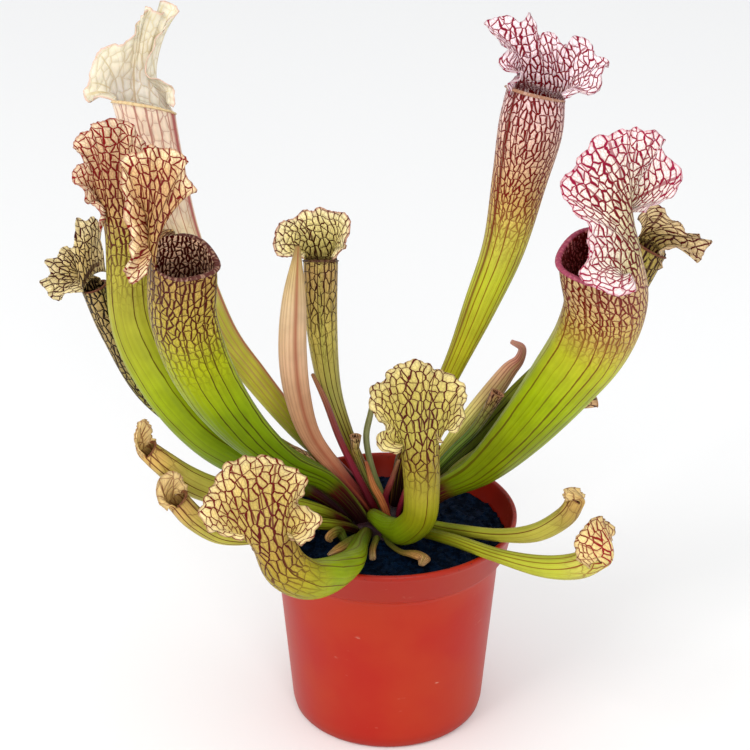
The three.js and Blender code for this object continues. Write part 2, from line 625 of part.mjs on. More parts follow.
function crownSolid(grow) {
  const geometry = lathe(crownProfile(grow), CROWN_SIDES);
  const position = geometry.attributes.position;
  const lumpHeight = 0.05;
  for (let i = 0; i < position.count; i += 1) {
    const angle = Math.atan2(position.getY(i), position.getX(i));
    const lump = 1 + lumpHeight * Math.sin(5 * angle + 1) + lumpHeight * 0.6 * Math.sin(9 * angle);
    position.setX(i, position.getX(i) * lump + CROWN_CENTRE.x);
    position.setY(i, position.getY(i) * lump + CROWN_CENTRE.y);
  }
  let crown = toManifold(geometry);
  const rootCount = 3;
  for (let k = 0; k < rootCount; k += 1) {
    crown = crown.add(rootSolid((k / rootCount) * 2 * Math.PI, grow));
  }
  return crown;
}

function rootSolid(angle, grow) {
  const length = ROOT_LENGTH + 2 * grow;
  const root = new THREE.ConeGeometry(ROOT_RADIUS + grow, length, 7);
  root.rotateX(-Math.PI / 2);
  root.translate(0, 0, -length / 2);
  root.rotateX(0.3 + 0.1 * Math.sin(3 * angle));
  root.rotateZ(angle);
  root.translate(CROWN_CENTRE.x - 7 * Math.sin(angle), CROWN_CENTRE.y + 7 * Math.cos(angle),
    CROWN_BOTTOM + 3);
  return toManifold(root);
}

// The peat filling: a plug that follows the pot's inside, with a rough top
function soilSolid() {
  const skin = new Skin();
  const sides = POT_SIDES;
  const collarZ = POT_HEIGHT - COLLAR_DROP;
  const wall = [
    [POT_FOOT_RADIUS - 6.2, POT_FLOOR + GAP], [POT_FOOT_RADIUS - POT_WALL - GAP, 6.4],
    [POT_BODY_TOP_RADIUS - POT_WALL - GAP, collarZ + 0.2],
    [COLLAR_FOOT_RADIUS - POT_WALL - GAP, collarZ + POT_WALL + 0.4],
    [COLLAR_FOOT_RADIUS - POT_WALL + 0.4, SOIL_LEVEL],
  ];
  const rough = (x, y) => (
    Math.sin(0.31 * x + 0.17 * y) + Math.sin(0.23 * y - 0.37 * x + 2) + 0.8 * Math.sin(0.6 * x + 0.5 * y + 4)
  ) * SOIL_ROUGHNESS / 2;
  const top = wall[wall.length - 1][0];
  for (let m = SOIL_RINGS; m >= 1; m -= 1) {
    wall.push([(top * m) / (SOIL_RINGS + 1), SOIL_LEVEL]);
  }
  const rings = wall.map(([r, z]) => Array.from({ length: sides }, (_, j) => {
    const angle = (j / sides) * 2 * Math.PI;
    const x = r * Math.cos(angle);
    const y = r * Math.sin(angle);
    return skin.add(new THREE.Vector3(x, y, z === SOIL_LEVEL ? z + rough(x, y) : z));
  }));
  skin.rows(rings, true);
  skin.fan(rings[0], true);
  skin.fan(rings[rings.length - 1], false);
  return skin.toSolid();
}

function addMesh(group, name, solid, colour, roughness) {
  const material = new THREE.MeshStandardMaterial({ color: colour, roughness, metalness: 0 });
  const mesh = new THREE.Mesh(toGeometry(solid), material);
  mesh.name = name;
  group.add(mesh);
}

function buildPlant() {
  const plant = new THREE.Group();
  let crown = crownSolid(0);
  let soil = soilSolid().subtract(crownSolid(GAP));
  LEAVES.forEach((leaf) => {
    const room = footRoom(leaf);
    crown = crown.subtract(room);
    soil = soil.subtract(room);
    addMesh(plant, leaf.name, leafSolid(leaf), leaf.colour, 0.45);
  });
  addMesh(plant, "rootstock", mainBody(crown), CRIMSON, 0.7);
  addMesh(plant, "peat_filling", mainBody(soil), 0x1c1a1e, 0.95);
  addMesh(plant, "pot", potSolid(), 0xb8402a, 0.4);
  return plant;
}

export default buildPlant();
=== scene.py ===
"""Looks of a potted pitcher plant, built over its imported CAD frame.

Every size in the classes is in millimetres, as in the part's own source, and a finished mesh is
in metres. Each leaf of the frame is replaced by a finer one on the same route, with the same
margin: the hoods get their ruffles, the walls their veins, and the pot its rounded lip.
"""

import logging
import math
from dataclasses import dataclass, field, replace
from enum import Enum

import bmesh
import bpy
import numpy as np
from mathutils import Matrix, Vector


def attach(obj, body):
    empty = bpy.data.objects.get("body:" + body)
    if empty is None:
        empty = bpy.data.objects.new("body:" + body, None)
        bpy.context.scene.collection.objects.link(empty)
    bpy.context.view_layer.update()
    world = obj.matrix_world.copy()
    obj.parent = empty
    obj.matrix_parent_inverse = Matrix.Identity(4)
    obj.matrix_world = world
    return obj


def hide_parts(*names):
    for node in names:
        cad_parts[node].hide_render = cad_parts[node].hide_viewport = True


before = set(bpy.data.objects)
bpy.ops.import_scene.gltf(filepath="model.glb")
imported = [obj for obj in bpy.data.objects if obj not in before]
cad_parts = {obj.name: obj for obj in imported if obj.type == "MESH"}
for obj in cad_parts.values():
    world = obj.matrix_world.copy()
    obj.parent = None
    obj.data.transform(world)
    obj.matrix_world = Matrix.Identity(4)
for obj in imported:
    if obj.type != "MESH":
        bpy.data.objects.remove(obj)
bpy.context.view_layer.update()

LOG = logging.getLogger("pitcher_plant")
MM = 0.001
BODY = "root"
WHOLE_TURN = 2.0 * math.pi

# The white that gloss adds to a leaf's colours, taken off as they are read.
SHEEN = 0.012
# Height of a hood's margin, where the foot is 0 and the mouth is 1.
LEAF_TOP = 2.0
# The attributes that carry nine numbers from each leaf's mesh to its material.
FACTS = ("vein_place", "leaf_zone", "vein_plane")
# How much longer than wide the net's cells are, how dense it is, and how it fans out.
TUBE_STRETCH = 1.8
HOOD_STRETCH = 2.0
HOOD_DENSE = 1.7
FAN = 0.55
# Thickness of a leaf's wall, of its lip, and of its hood's root, and how much the margin is thinner.
WALL = 0.9
LIP_WALL = 0.7
HOOD_WALL = 0.8
HOOD_THINNING = 0.35
# A distance to the margin that counts as none, for all that is not hood.
FAR_FROM_EDGE = 50.0

Array = np.ndarray
Socket = bpy.types.NodeSocket
Triple = tuple[float, float, float]
Stops = tuple[tuple[float, str], ...]


def unit(rows: Array) -> Array:
    """Scales vectors, which lie along the last axis, to length one."""
    return rows / np.maximum(np.linalg.norm(rows, axis=-1, keepdims=True), 1e-9)


def ease(value: Array) -> Array:
    """Turns 0..1 into a soft step, and holds what lies outside it."""
    held = np.clip(value, 0.0, 1.0)
    return held * held * (3.0 - 2.0 * held)


def paint(code: str, sheen: float = 0.0) -> tuple[float, float, float, float]:
    """Reads a colour as a screen shows it.

    Args:
        code: six hexadecimal digits.
        sheen: the white that the surface's gloss adds to it, taken off here.
    Returns:
        The same colour in Blender's linear values, with full alpha.
    """
    parts = [int(code[k:k + 2], 16) / 255.0 for k in (0, 2, 4)]
    linear = [c / 12.92 if c <= 0.04045 else ((c + 0.055) / 1.055) ** 2.4 for c in parts]
    return (*(max(value - sheen, value * 0.3) for value in linear), 1.0)


def link_object(name: str, data: bpy.types.ID) -> bpy.types.Object:
    """Makes an object of mesh, lamp or camera data and links it to the scene."""
    made = bpy.data.objects.new(name, data)
    bpy.context.scene.collection.objects.link(made)
    return made


def mesh_object(name: str, points: Array, faces: list, material: bpy.types.Material) -> bpy.types.Object:
    """Makes a smooth shaded object at the origin.

    Args:
        name: the object's name.
        points: places in millimetres.
        faces: vertex numbers of each face.
        material: what it is dressed in.
    Returns:
        The object, linked to the scene.
    """
    mesh = bpy.data.meshes.new(name)
    mesh.from_pydata((points * MM).tolist(), [], faces)
    mesh.polygons.foreach_set("use_smooth", [True] * len(mesh.polygons))
    mesh.materials.append(material)
    return link_object(name, mesh)


def stacked_object(
    name: str, rings: list[Array], ends: Array, material: bpy.types.Material
) -> bpy.types.Object:
    """Makes a closed round object from rings of places.

    Args:
        name: the object's name.
        rings: the rings from the bottom up, all with the same number of places.
        ends: the middle of the bottom and the middle of the top.
        material: what it is dressed in.
    Returns:
        The object, linked to the scene.
    """
    sides = len(rings[0])
    bottom = len(rings) * sides
    last = bottom - sides
    around = [(j, (j + 1) % sides) for j in range(sides)]
    faces: list[tuple[int, ...]] = []
    for low in range(0, last, sides):
        high = low + sides
        faces += [(low + j, low + k, high + k, high + j) for j, k in around]
    for j, k in around:
        faces += [(k, j, bottom), (last + j, last + k, bottom + 1)]
    return mesh_object(name, np.vstack([*rings, ends]), faces, material)


def evaluated_mesh(piece: bpy.types.Object) -> bpy.types.Mesh:
    """Gives a plain mesh of an object as its modifiers leave it."""
    graph = bpy.context.evaluated_depsgraph_get()
    return bpy.data.meshes.new_from_object(piece.evaluated_get(graph), depsgraph=graph)


class Curve:
    """A uniform Catmull-Rom curve with reflected ends, as the part's source uses."""

    def __init__(self, points: tuple) -> None:
        """Keeps the points and adds a reflected one at each end."""
        given = np.array(points, float)
        if given.ndim == 1:
            given = given[:, None]
        first = 2.0 * given[0] - given[1]
        last = 2.0 * given[-1] - given[-2]
        self.spans = len(given) - 1
        self.padded = np.vstack([first, given, last])

    def at(self, share: Array) -> Array:
        """Gives the curve's points.

        Args:
            share: places along the curve, 0 at its start and 1 at its end.
        Returns:
            One point for each place.
        """
        place = np.clip(np.asarray(share, float), 0.0, 1.0) * self.spans
        index = np.minimum(place.astype(int), self.spans - 1)
        part = (place - index)[..., None]
        before, start, end, after = (self.padded[index + k] for k in range(4))
        leave = (end - before) * 0.5
        arrive = (after - start) * 0.5
        cubic = 2.0 * start - 2.0 * end + leave + arrive
        square = 3.0 * end - 3.0 * start - 2.0 * leave - arrive
        return cubic * part ** 3 + square * part ** 2 + leave * part + start

    def tangent(self, share: Array) -> Array:
        """Gives unit directions along the curve at the given places."""
        step = 1e-4
        ahead = self.at(np.clip(share + step, 0.0, 1.0))
        behind = self.at(np.clip(share - step, 0.0, 1.0))
        return unit(ahead - behind)


class Graph:
    """Adds nodes to one node tree and links them, so that a material reads as a recipe."""

    def __init__(self, tree: bpy.types.NodeTree) -> None:
        """Starts on a tree."""
        self.tree = tree

    def add(self, kind: str, settings: dict[str, object] | None = None, **inputs: object) -> bpy.types.Node:
        """Adds one node.

        Args:
            kind: the node's type.
            settings: properties to set on the node.
            inputs: what feeds its inputs, by name with _ for a space.
        Returns:
            The new node.
        """
        node = self.tree.nodes.new(kind)
        for name, value in (settings or {}).items():
            setattr(node, name, value)
        for name, value in inputs.items():
            self.feed(node.inputs[name.replace("_", " ")], value)
        return node

    def feed(self, socket: Socket, value: object) -> None:
        """Links an output to a socket, or sets the socket's own value."""
        if isinstance(value, Socket):
            self.tree.links.new(value, socket)
        else:
            socket.default_value = value

    def calc(self, kind: str, *values: object) -> Socket:
        """Does one step of arithmetic.

        Args:
            kind: the Math node's operation.
            values: sockets or numbers, in order.
        Returns:
            The result's socket.
        """
        node = self.add("ShaderNodeMath", {"operation": kind})
        for socket, value in zip(node.inputs, values):
            self.feed(socket, value)
        return node.outputs[0]

    def times(self, first: object, *others: object) -> Socket:
        """Multiplies values, from the first to the last."""
        for other in others:
            first = self.calc("MULTIPLY", first, other)
        return first

    def plus(self, first: object, *others: object) -> Socket:
        """Adds values, from the first to the last."""
        for other in others:
            first = self.calc("ADD", first, other)
        return first

    def minus(self, first: object, second: object) -> Socket:
        """Takes the second value from the first."""
        return self.calc("SUBTRACT", first, second)

    def vector(self, kind: str, first: object, second: object) -> Socket:
        """Does one step of vector arithmetic and returns the result's socket."""
        node = self.add("ShaderNodeVectorMath", {"operation": kind})
        self.feed(node.inputs[0], first)
        self.feed(node.inputs["Scale" if kind == "SCALE" else 1], second)
        return node.outputs["Value" if kind == "DOT_PRODUCT" else "Vector"]

    def split(self, vector: object) -> bpy.types.bpy_prop_collection:
        """Gives a vector's three numbers."""
        return self.add("ShaderNodeSeparateXYZ", Vector=vector).outputs

    def step(
        self, value: object, low: object, high: object, to_low: float = 0.0, to_high: float = 1.0
    ) -> Socket:
        """Maps low..high softly to to_low..to_high and holds the ends."""
        node = self.add("ShaderNodeMapRange", {"interpolation_type": "SMOOTHSTEP"})
        for socket, given in zip(node.inputs, (value, low, high, to_low, to_high)):
            self.feed(socket, given)
        return node.outputs[0]

    def mix(self, share: object, first: object, second: object) -> Socket:
        """Mixes two colours.

        Args:
            share: how much of the second colour shows.
            first: colour or socket.
            second: colour or socket.
        Returns:
            The mixed colour's socket.
        """
        node = self.add("ShaderNodeMix", {"data_type": "RGBA", "clamp_factor": True})
        for place, value in ((0, share), (6, first), (7, second)):
            self.feed(node.inputs[place], value)
        return node.outputs[2]

    def coat(self, colour: object, *layers: tuple[object, float, str]) -> Socket:
        """Lays colours over a colour, each given as its mask, how strongly it shows and its code."""
        for mask, strength, code in layers:
            colour = self.mix(self.times(mask, strength), colour, paint(code))
        return colour

    def ramp(self, height: object, stops: Stops) -> Socket:
        """Reads a leaf's colour at a height.

        Args:
            height: 0 at the foot and LEAF_TOP at the end of the row of stops.
            stops: pairs of height and colour.
        Returns:
            The colour's socket.
        """
        node = self.add("ShaderNodeValToRGB")
        self.feed(node.inputs[0], self.calc("DIVIDE", height, LEAF_TOP))
        row = node.color_ramp.elements
        while len(row) < len(stops):
            row.new(0.5)
        for element, (place, code) in zip(row, stops):
            element.position = min(place / LEAF_TOP, 1.0)
            element.color = paint(code, SHEEN)
        return node.outputs[0]

    def noise(self, place: object, scale: float, detail: float, colour: bool = False) -> Socket:
        """Gives a noise value, or a noise vector where colour is asked for."""
        node = self.add("ShaderNodeTexNoise", Vector=place, Scale=scale, Detail=detail)
        return node.outputs[1 if colour else 0]

    def object_place(self) -> Socket:
        """Gives the place on the object, in metres."""
        return self.add("ShaderNodeTexCoord").outputs["Object"]


class Group:
    """A shader node group with named inputs and outputs, built once and placed in many materials."""

    def __init__(self, name: str, inputs: dict[str, object], outputs: tuple[str, ...]) -> None:
        """Makes an empty group.

        Args:
            name: the group's name.
            inputs: each input's name with its starting value, None for a vector.
            outputs: names of the outputs, all single values.
        """
        self.tree = bpy.data.node_groups.new(name, "ShaderNodeTree")
        for label, value in inputs.items():
            kind = "NodeSocketVector" if value is None else "NodeSocketFloat"
            socket = self.tree.interface.new_socket(label, in_out="INPUT", socket_type=kind)
            if value is not None:
                socket.default_value = value
        for label in outputs:
            self.tree.interface.new_socket(label, in_out="OUTPUT", socket_type="NodeSocketFloat")
        self.graph = Graph(self.tree)
        self.given = self.tree.nodes.new("NodeGroupInput").outputs
        self.result = self.tree.nodes.new("NodeGroupOutput").inputs

    def place(self, graph: Graph, **values: object) -> dict[str, Socket]:
        """Puts the group in a material, feeds its inputs by name and returns its outputs by name."""
        node = graph.add("ShaderNodeGroup", {"node_tree": self.tree}, **values)
        return {socket.name: socket for socket in node.outputs}


def make_vein_net() -> Group:
    """Builds the net of veins, lines of even width between the cells of a wandering pattern.

    Returns:
        A group that puts out the veins' mask and how far a cell is puffed up. Across and stretch
        say how its place is scaled against millimetres, so that the lines' width stays true. Lines
        that run up the leaf are wider than those that cross it.
    """
    group = Group(
        "Vein net",
        {"Place": None, "Cell": 4.0, "Across": 1.0, "Stretch": 1.4, "Width": 0.6, "Wander": 1.0},
        ("Vein", "Puff"),
    )
    bend_scale, bend_reach, unevenness = 0.22, 3.2, 0.85
    thin_line, thick_line = 0.6, 1.15
    line_core, line_end, puff_reach = 0.42, 0.76, 0.42
    graph, given = group.graph, group.given
    bend = graph.noise(graph.vector("SCALE", given["Place"], bend_scale), 1.0, 2.0, colour=True)
    bend = graph.vector("SUBTRACT", bend, (0.5, 0.5, 0.5))
    bend = graph.vector("SCALE", bend, graph.times(given["Wander"], bend_reach))
    place = graph.vector("ADD", given["Place"], bend)
    place = graph.vector("SCALE", place, graph.calc("DIVIDE", 1.0, given["Cell"]))
    nearest, second = (
        graph.add(
            "ShaderNodeTexVoronoi", {"feature": feature, "voronoi_dimensions": "2D"}, Vector=place, Scale=1.0,
            Randomness=unevenness,
        ).outputs["Position"]
        for feature in ("F1", "F2")
    )
    flat = graph.vector("MULTIPLY", place, (1.0, 1.0, 0.0))
    apart = graph.vector("SUBTRACT", second, nearest)
    middle = graph.vector("SCALE", graph.vector("ADD", nearest, second), 0.5)
    reach = graph.vector("DOT_PRODUCT", graph.vector("SUBTRACT", middle, flat), apart)
    sideways, upwards, _ = graph.split(apart)
    steep = graph.calc("DIVIDE", upwards, given["Stretch"])
    level = graph.times(sideways, given["Across"])
    slope = graph.plus(graph.times(level, level), graph.times(steep, steep))
    slope = graph.calc("SQRT", graph.calc("MAXIMUM", slope, 1e-4))
    away = graph.calc("DIVIDE", graph.times(reach, given["Cell"]), slope)
    upright = graph.calc("DIVIDE", graph.calc("ABSOLUTE", level), slope)
    width = graph.times(given["Width"], graph.step(upright, 0.3, 0.95, thin_line, thick_line))
    vein = graph.step(away, graph.times(width, line_core), graph.times(width, line_end), 1.0, 0.0)
    graph.feed(group.result["Vein"], vein)
    graph.feed(group.result["Puff"], graph.step(away, 0.0, graph.times(given["Cell"], puff_reach)))
    return group


def make_long_veins() -> Group:
    """Builds the long veins that run up a leaf, each with its own strength and wander.

    Returns:
        A group that puts out the veins' mask and the soft ribs between them.
    """
    start = {"Around": 0.0, "Along": 0.0, "Spread": 1.0, "Spacing": 4.0, "Width": 0.5, "Sparse": 0.25}
    group = Group("Long veins", start, ("Vein", "Rib"))
    drift_scale, drift_along, wander, off_centre = 1.3, 0.05, 0.4, 0.4
    line_core, line_end = 0.4, 0.8
    weak_width, weak_mask = 0.5, 0.35
    graph, given = group.graph, group.given
    turns = graph.calc("DIVIDE", given["Around"], given["Spacing"])
    join = graph.add("ShaderNodeCombineXYZ", X=turns, Y=graph.times(given["Along"], drift_along))
    drift = graph.minus(graph.noise(join.outputs[0], drift_scale, 3.0), 0.5)
    column = graph.plus(turns, graph.times(drift, wander))
    chance = graph.add("ShaderNodeTexWhiteNoise", {"noise_dimensions": "1D"}, W=graph.calc("FLOOR", column))
    chance = chance.outputs["Value"]
    centre = graph.times(graph.minus(chance, 0.5), off_centre)
    offset = graph.minus(graph.calc("FRACT", column), 0.5)
    away = graph.calc("ABSOLUTE", graph.minus(offset, centre))
    away = graph.times(away, given["Spacing"], given["Spread"])
    strong = graph.step(chance, given["Sparse"], graph.plus(given["Sparse"], 0.35))
    width = graph.times(given["Width"], graph.step(strong, 0.0, 1.0, weak_width, 1.0))
    line = graph.step(away, graph.times(width, line_core), graph.times(width, line_end), 1.0, 0.0)
    graph.feed(group.result["Vein"], graph.times(line, graph.step(strong, 0.0, 1.0, weak_mask, 1.0)))
    wave = graph.calc("COSINE", graph.times(column, 2.0 * WHOLE_TURN))
    graph.feed(group.result["Rib"], graph.step(wave, -1.0, 1.0))
    return group


def make_mottle() -> Group:
    """Builds broad soft patches with a fine grain in them.

    Returns:
        A group that puts out patches and grain, both about one half on average.
    """
    group = Group("Mottle", {"Place": None, "Patch": 12.0, "Grain": 0.7}, ("Patches", "Grains"))
    graph, given = group.graph, group.given
    for size, result, detail in (("Patch", "Patches", 3.0), ("Grain", "Grains", 2.0)):
        place = graph.vector("SCALE", given["Place"], graph.calc("DIVIDE", 1.0 / MM, given[size]))
        graph.feed(group.result[result], graph.noise(place, 1.0, detail))
    return group


@dataclass
class Workshop:
    """The shader groups that more than one material uses."""

    net: Group = field(default_factory=make_vein_net)
    lines: Group = field(default_factory=make_long_veins)
    mottle: Group = field(default_factory=make_mottle)


class Surface:
    """A material with one Principled shader, and the graph that feeds it."""

    def __init__(self, name: str) -> None:
        """Makes the material."""
        self.material = bpy.data.materials.new(name)
        self.material.use_nodes = True
        self.graph = Graph(self.material.node_tree)
        self.shader = self.material.node_tree.nodes["Principled BSDF"]

    def feed(self, **inputs: object) -> None:
        """Feeds the shader's inputs by name, with _ for a space."""
        for name, value in inputs.items():
            self.graph.feed(self.shader.inputs[name.replace("_", " ")], value)

    def bump(self, height: object, reach: float, strength: float) -> None:
        """Feeds a height to the shader's normal. Reach is how many millimetres a height of 1 is."""
        node = self.graph.add("ShaderNodeBump", Strength=strength, Distance=reach * MM, Height=height)
        self.feed(Normal=node.outputs[0])


class Spot:
    """What a leaf's material knows of a place on it, one socket each.

    Around is in millimetres at the mouth's width, spread is how much wider the leaf is here, and
    from_edge is millimetres to the margin. Height is 0 at the foot, 1 at the mouth and 2 at the
    margin. Throat, seam and lip are masks. Plane is the place in the net's own plane, along its
    second number, and across and stretch are its scale against millimetres.
    """

    def __init__(self, graph: Graph) -> None:
        """Reads the attributes that every leaf's mesh carries."""
        place, zone, self.plane = (
            graph.add("ShaderNodeAttribute", {"attribute_name": label}).outputs["Vector"] for label in FACTS
        )
        self.around, self.spread, self.from_edge = graph.split(place)
        self.height, across, seam_or_lip = graph.split(zone)
        _, self.along, self.stretch = graph.split(self.plane)
        self.across = graph.calc("ABSOLUTE", across)
        inside = graph.calc("LESS_THAN", across, 0.0)
        self.throat = graph.times(inside, graph.step(self.height, 1.12, 0.98))
        self.seam = graph.calc("MAXIMUM", seam_or_lip, 0.0)
        self.lip = graph.calc("MAXIMUM", graph.times(seam_or_lip, -1.0), 0.0)


@dataclass(frozen=True)
class LeafFinish:
    """Colours and veins of one leaf. Heights run from 0 at the foot over 1 at the mouth to 2.

    Skin and veins are colours by height. Between the heights net_from and net_full the net of
    veins comes in, with cells and lines of the given size in millimetres, and finer ones inside
    them. The long veins have their spacing, width and strength, and another strength on the hood.
    Seam, rim, lip and throat are colours, each with how strongly it shows. The throat colour lies on
    the inner wall below the mouth: its dark brown default is painted shade, and a pale one is the
    wall's own tint.
    """

    skin: Stops
    veins: Stops
    net_from: float = 0.62
    net_full: float = 0.92
    cell: float = 4.2
    dense: float = 1.4
    width: float = 0.55
    net_strength: float = 1.0
    fine: float = 0.3
    spacing: float = 4.4
    line_width: float = 0.62
    line_strength: float = 0.9
    line_on_hood: float = 0.9
    seam: str = "7d8a2a"
    seam_strength: float = 0.35
    rim: str = "5a1512"
    rim_strength: float = 0.4
    lip: str = "6a3a28"
    lip_strength: float = 0.8
    # Painted shade by default: a dark brown over the inner wall below the mouth.
    throat: str = "5a3018"
    throat_share: float = 0.4
    roughness: float = 0.42
    glow: float = 0.1
    gloss: float = 0.14

    def nets(self, graph: Graph, spot: Spot, net: Group) -> tuple[dict, dict]:
        """Places the net of veins and the finer net inside its cells.

        Args:
            graph: the material's graph.
            spot: the place on the leaf.
            net: the group to place.
        Returns:
            The outputs of both, by name.
        """
        # Lines are thinner near the margin and on the tube, and thicker in the throat.
        width = graph.times(
            graph.step(spot.from_edge, 0.5, 9.0, 0.8, 1.0), self.width,
            graph.step(spot.throat, 0.0, 1.0, 1.0, 1.35), graph.step(spot.height, 0.8, 1.1, 0.76, 1.0),
        )
        cell = graph.step(spot.throat, 0.0, 1.0, self.cell, self.cell * 0.75)
        scale = {"Across": spot.across, "Stretch": spot.stretch}
        broad = net.place(graph, Place=spot.plane, Cell=cell, Width=width, Wander=0.8, **scale)
        shifted = graph.vector("ADD", spot.plane, (31.0, 17.0, 0.0))
        fine = net.place(
            graph, Place=shifted, Cell=self.cell * 0.42, Width=self.width * 0.5, Wander=0.5, **scale
        )
        return broad, fine

    def long_veins(self, graph: Graph, spot: Spot, lines: Group) -> tuple[object, object]:
        """Places the long veins and, on a widening hood, the branches between them.

        Args:
            graph: the material's graph.
            spot: the place on the leaf.
            lines: the group to place.
        Returns:
            The mask of both, and the ribs between the long veins.
        """
        width = graph.step(spot.height, 0.8, 1.15, self.line_width * 0.66, self.line_width * 1.2)
        same = {"Along": spot.along, "Spread": spot.spread}
        broad = lines.place(graph, Around=spot.around, Spacing=self.spacing, Width=width, **same)
        branch = lines.place(
            graph, Around=graph.plus(spot.around, 70.0 + 0.25 * self.spacing), Spacing=self.spacing * 0.5,
            Width=self.line_width * 0.8, Sparse=0.1, **same,
        )
        low = graph.step(spot.height, 0.04, 0.2)
        top = graph.step(spot.height, 1.3, 1.8, 1.0, self.line_on_hood)
        share = graph.times(low, top, self.line_strength, graph.step(spot.from_edge, 0.3, 4.0))
        fork = graph.times(
            branch["Vein"], graph.step(spot.spread, 1.25, 1.7), graph.step(spot.height, 1.05, 1.2)
        )
        return graph.times(graph.calc("MAXIMUM", broad["Vein"], fork), share), broad["Rib"]

    def dress(self, name: str, workshop: Workshop) -> bpy.types.Material:
        """Builds the leaf's material.

        Args:
            name: the material's name.
            workshop: the shared shader groups.
        Returns:
            The finished material.
        """
        surface = Surface(name)
        graph = surface.graph
        spot = Spot(graph)
        net, fine = self.nets(graph, spot, workshop.net)
        lines, rib = self.long_veins(graph, spot, workshop.lines)
        mottle = workshop.mottle.place(graph, Place=graph.object_place(), Patch=14.0, Grain=0.8)
        share = graph.step(spot.height, self.net_from, self.net_full, 0.0, self.net_strength)
        mask = graph.calc("MAXIMUM", graph.times(net["Vein"], share), lines)
        mask = graph.calc("MAXIMUM", mask, graph.times(fine["Vein"], share, self.fine))
        puff = graph.times(net["Puff"], share)
        # The net's cells and the ribs between the long veins stand out a little lighter.
        ribbed = graph.plus(graph.times(rib, 0.07), 0.965)
        puffed = graph.minus(graph.times(puff, 0.22), 0.08)
        light = graph.times(graph.step(mottle["Patches"], 0.3, 0.7, 0.88, 1.08), ribbed)
        plain = graph.ramp(spot.height, self.skin)
        skin = graph.add("ShaderNodeHueSaturation", Value=graph.plus(light, puffed), Color=plain).outputs[0]
        rim = graph.step(spot.from_edge, 0.2, 1.3, 1.0, 0.0)
        # The throat layer is painted shade where its colour is dark, and the inner wall's own tint where it
        # is pale.
        skin = graph.coat(
            skin, (spot.seam, self.seam_strength, self.seam), (spot.throat, self.throat_share, self.throat),
            (rim, self.rim_strength, self.rim),
        )
        skin = graph.mix(mask, skin, graph.ramp(spot.height, self.veins))
        grain = mottle["Grains"]
        relief = graph.plus(graph.times(puff, 0.9), graph.times(rib, 0.25), graph.times(grain, 0.12))
        surface.bump(graph.minus(relief, graph.times(mask, 0.2)), 0.4, 0.75)
        surface.feed(
            Base_Color=graph.coat(skin, (spot.lip, self.lip_strength, self.lip)),
            Roughness=graph.plus(graph.times(grain, 0.16), self.roughness - 0.08),
            Specular_IOR_Level=self.gloss, Subsurface_Weight=self.glow,
            Subsurface_Radius=(1.0, 0.7, 0.3), Subsurface_Scale=1.2 * MM,
        )
        return surface.material


@dataclass(frozen=True)
class Fineness:
    """How finely a leaf's mesh is divided, and from where up it is hollow, over 1 for nowhere."""

    rows: int
    front: int
    back: int
    hood: int
    lip: int
    hollow: float


class Size(Enum):
    """The finenesses that leaves choose from."""

    LARGE = Fineness(rows=80, front=28, back=112, hood=42, lip=6, hollow=0.6)
    MIDDLE = Fineness(rows=66, front=22, back=84, hood=34, lip=6, hollow=0.7)
    SMALL = Fineness(rows=54, front=16, back=48, hood=24, lip=5, hollow=0.75)
    TUBE = Fineness(rows=44, front=12, back=12, hood=0, lip=4, hollow=0.6)
    BLADE = Fineness(rows=60, front=14, back=14, hood=0, lip=0, hollow=2.0)


@dataclass(frozen=True)
class Ruffle:
    """How a hood's margin is ruffled: waves, folds and frills stand off it, beads lie in it.

    Each has its reach, its number along the margin, and how late it grows from root to margin.
    """

    wave: float = 1.3
    wave_growth: float = 2.5
    fold: float = 1.6
    folds: int = 6
    fold_growth: int = 3
    frill: float = 0.95
    frills: int = 19
    frill_growth: int = 5
    bead: float = 0.5
    beads: int = 44
    bead_growth: int = 12
    uneven: float = 0.35
    shift: float = 1.2

    def offsets(self, share: Array, rise: Array, waves: int) -> tuple[Array, Array]:
        """Gives how far the hood is moved.

        Args:
            share: places along the margin, 0 to 1.
            rise: 0 at the hood's root to 1 at its margin, as a column.
            waves: number of broad waves.
        Returns:
            The moves off the hood and those in it, outward, both rows by columns.
        """
        turn = WHOLE_TURN * share
        uneven = 1.0 - self.uneven + self.uneven * np.sin(2.0 * turn)
        shift = self.shift * np.sin(3.0 * turn)
        fold = self.fold * uneven * np.sin(self.folds * turn)
        frill = self.frill * np.sin(self.frills * turn + shift)
        off = self.wave * np.sin(waves * turn) * rise ** self.wave_growth
        off = off + fold * rise ** self.fold_growth + frill * rise ** self.frill_growth
        beads = self.bead * (np.abs(np.sin(0.5 * self.beads * turn + shift)) - 0.5)
        return off, beads * rise ** self.bead_growth


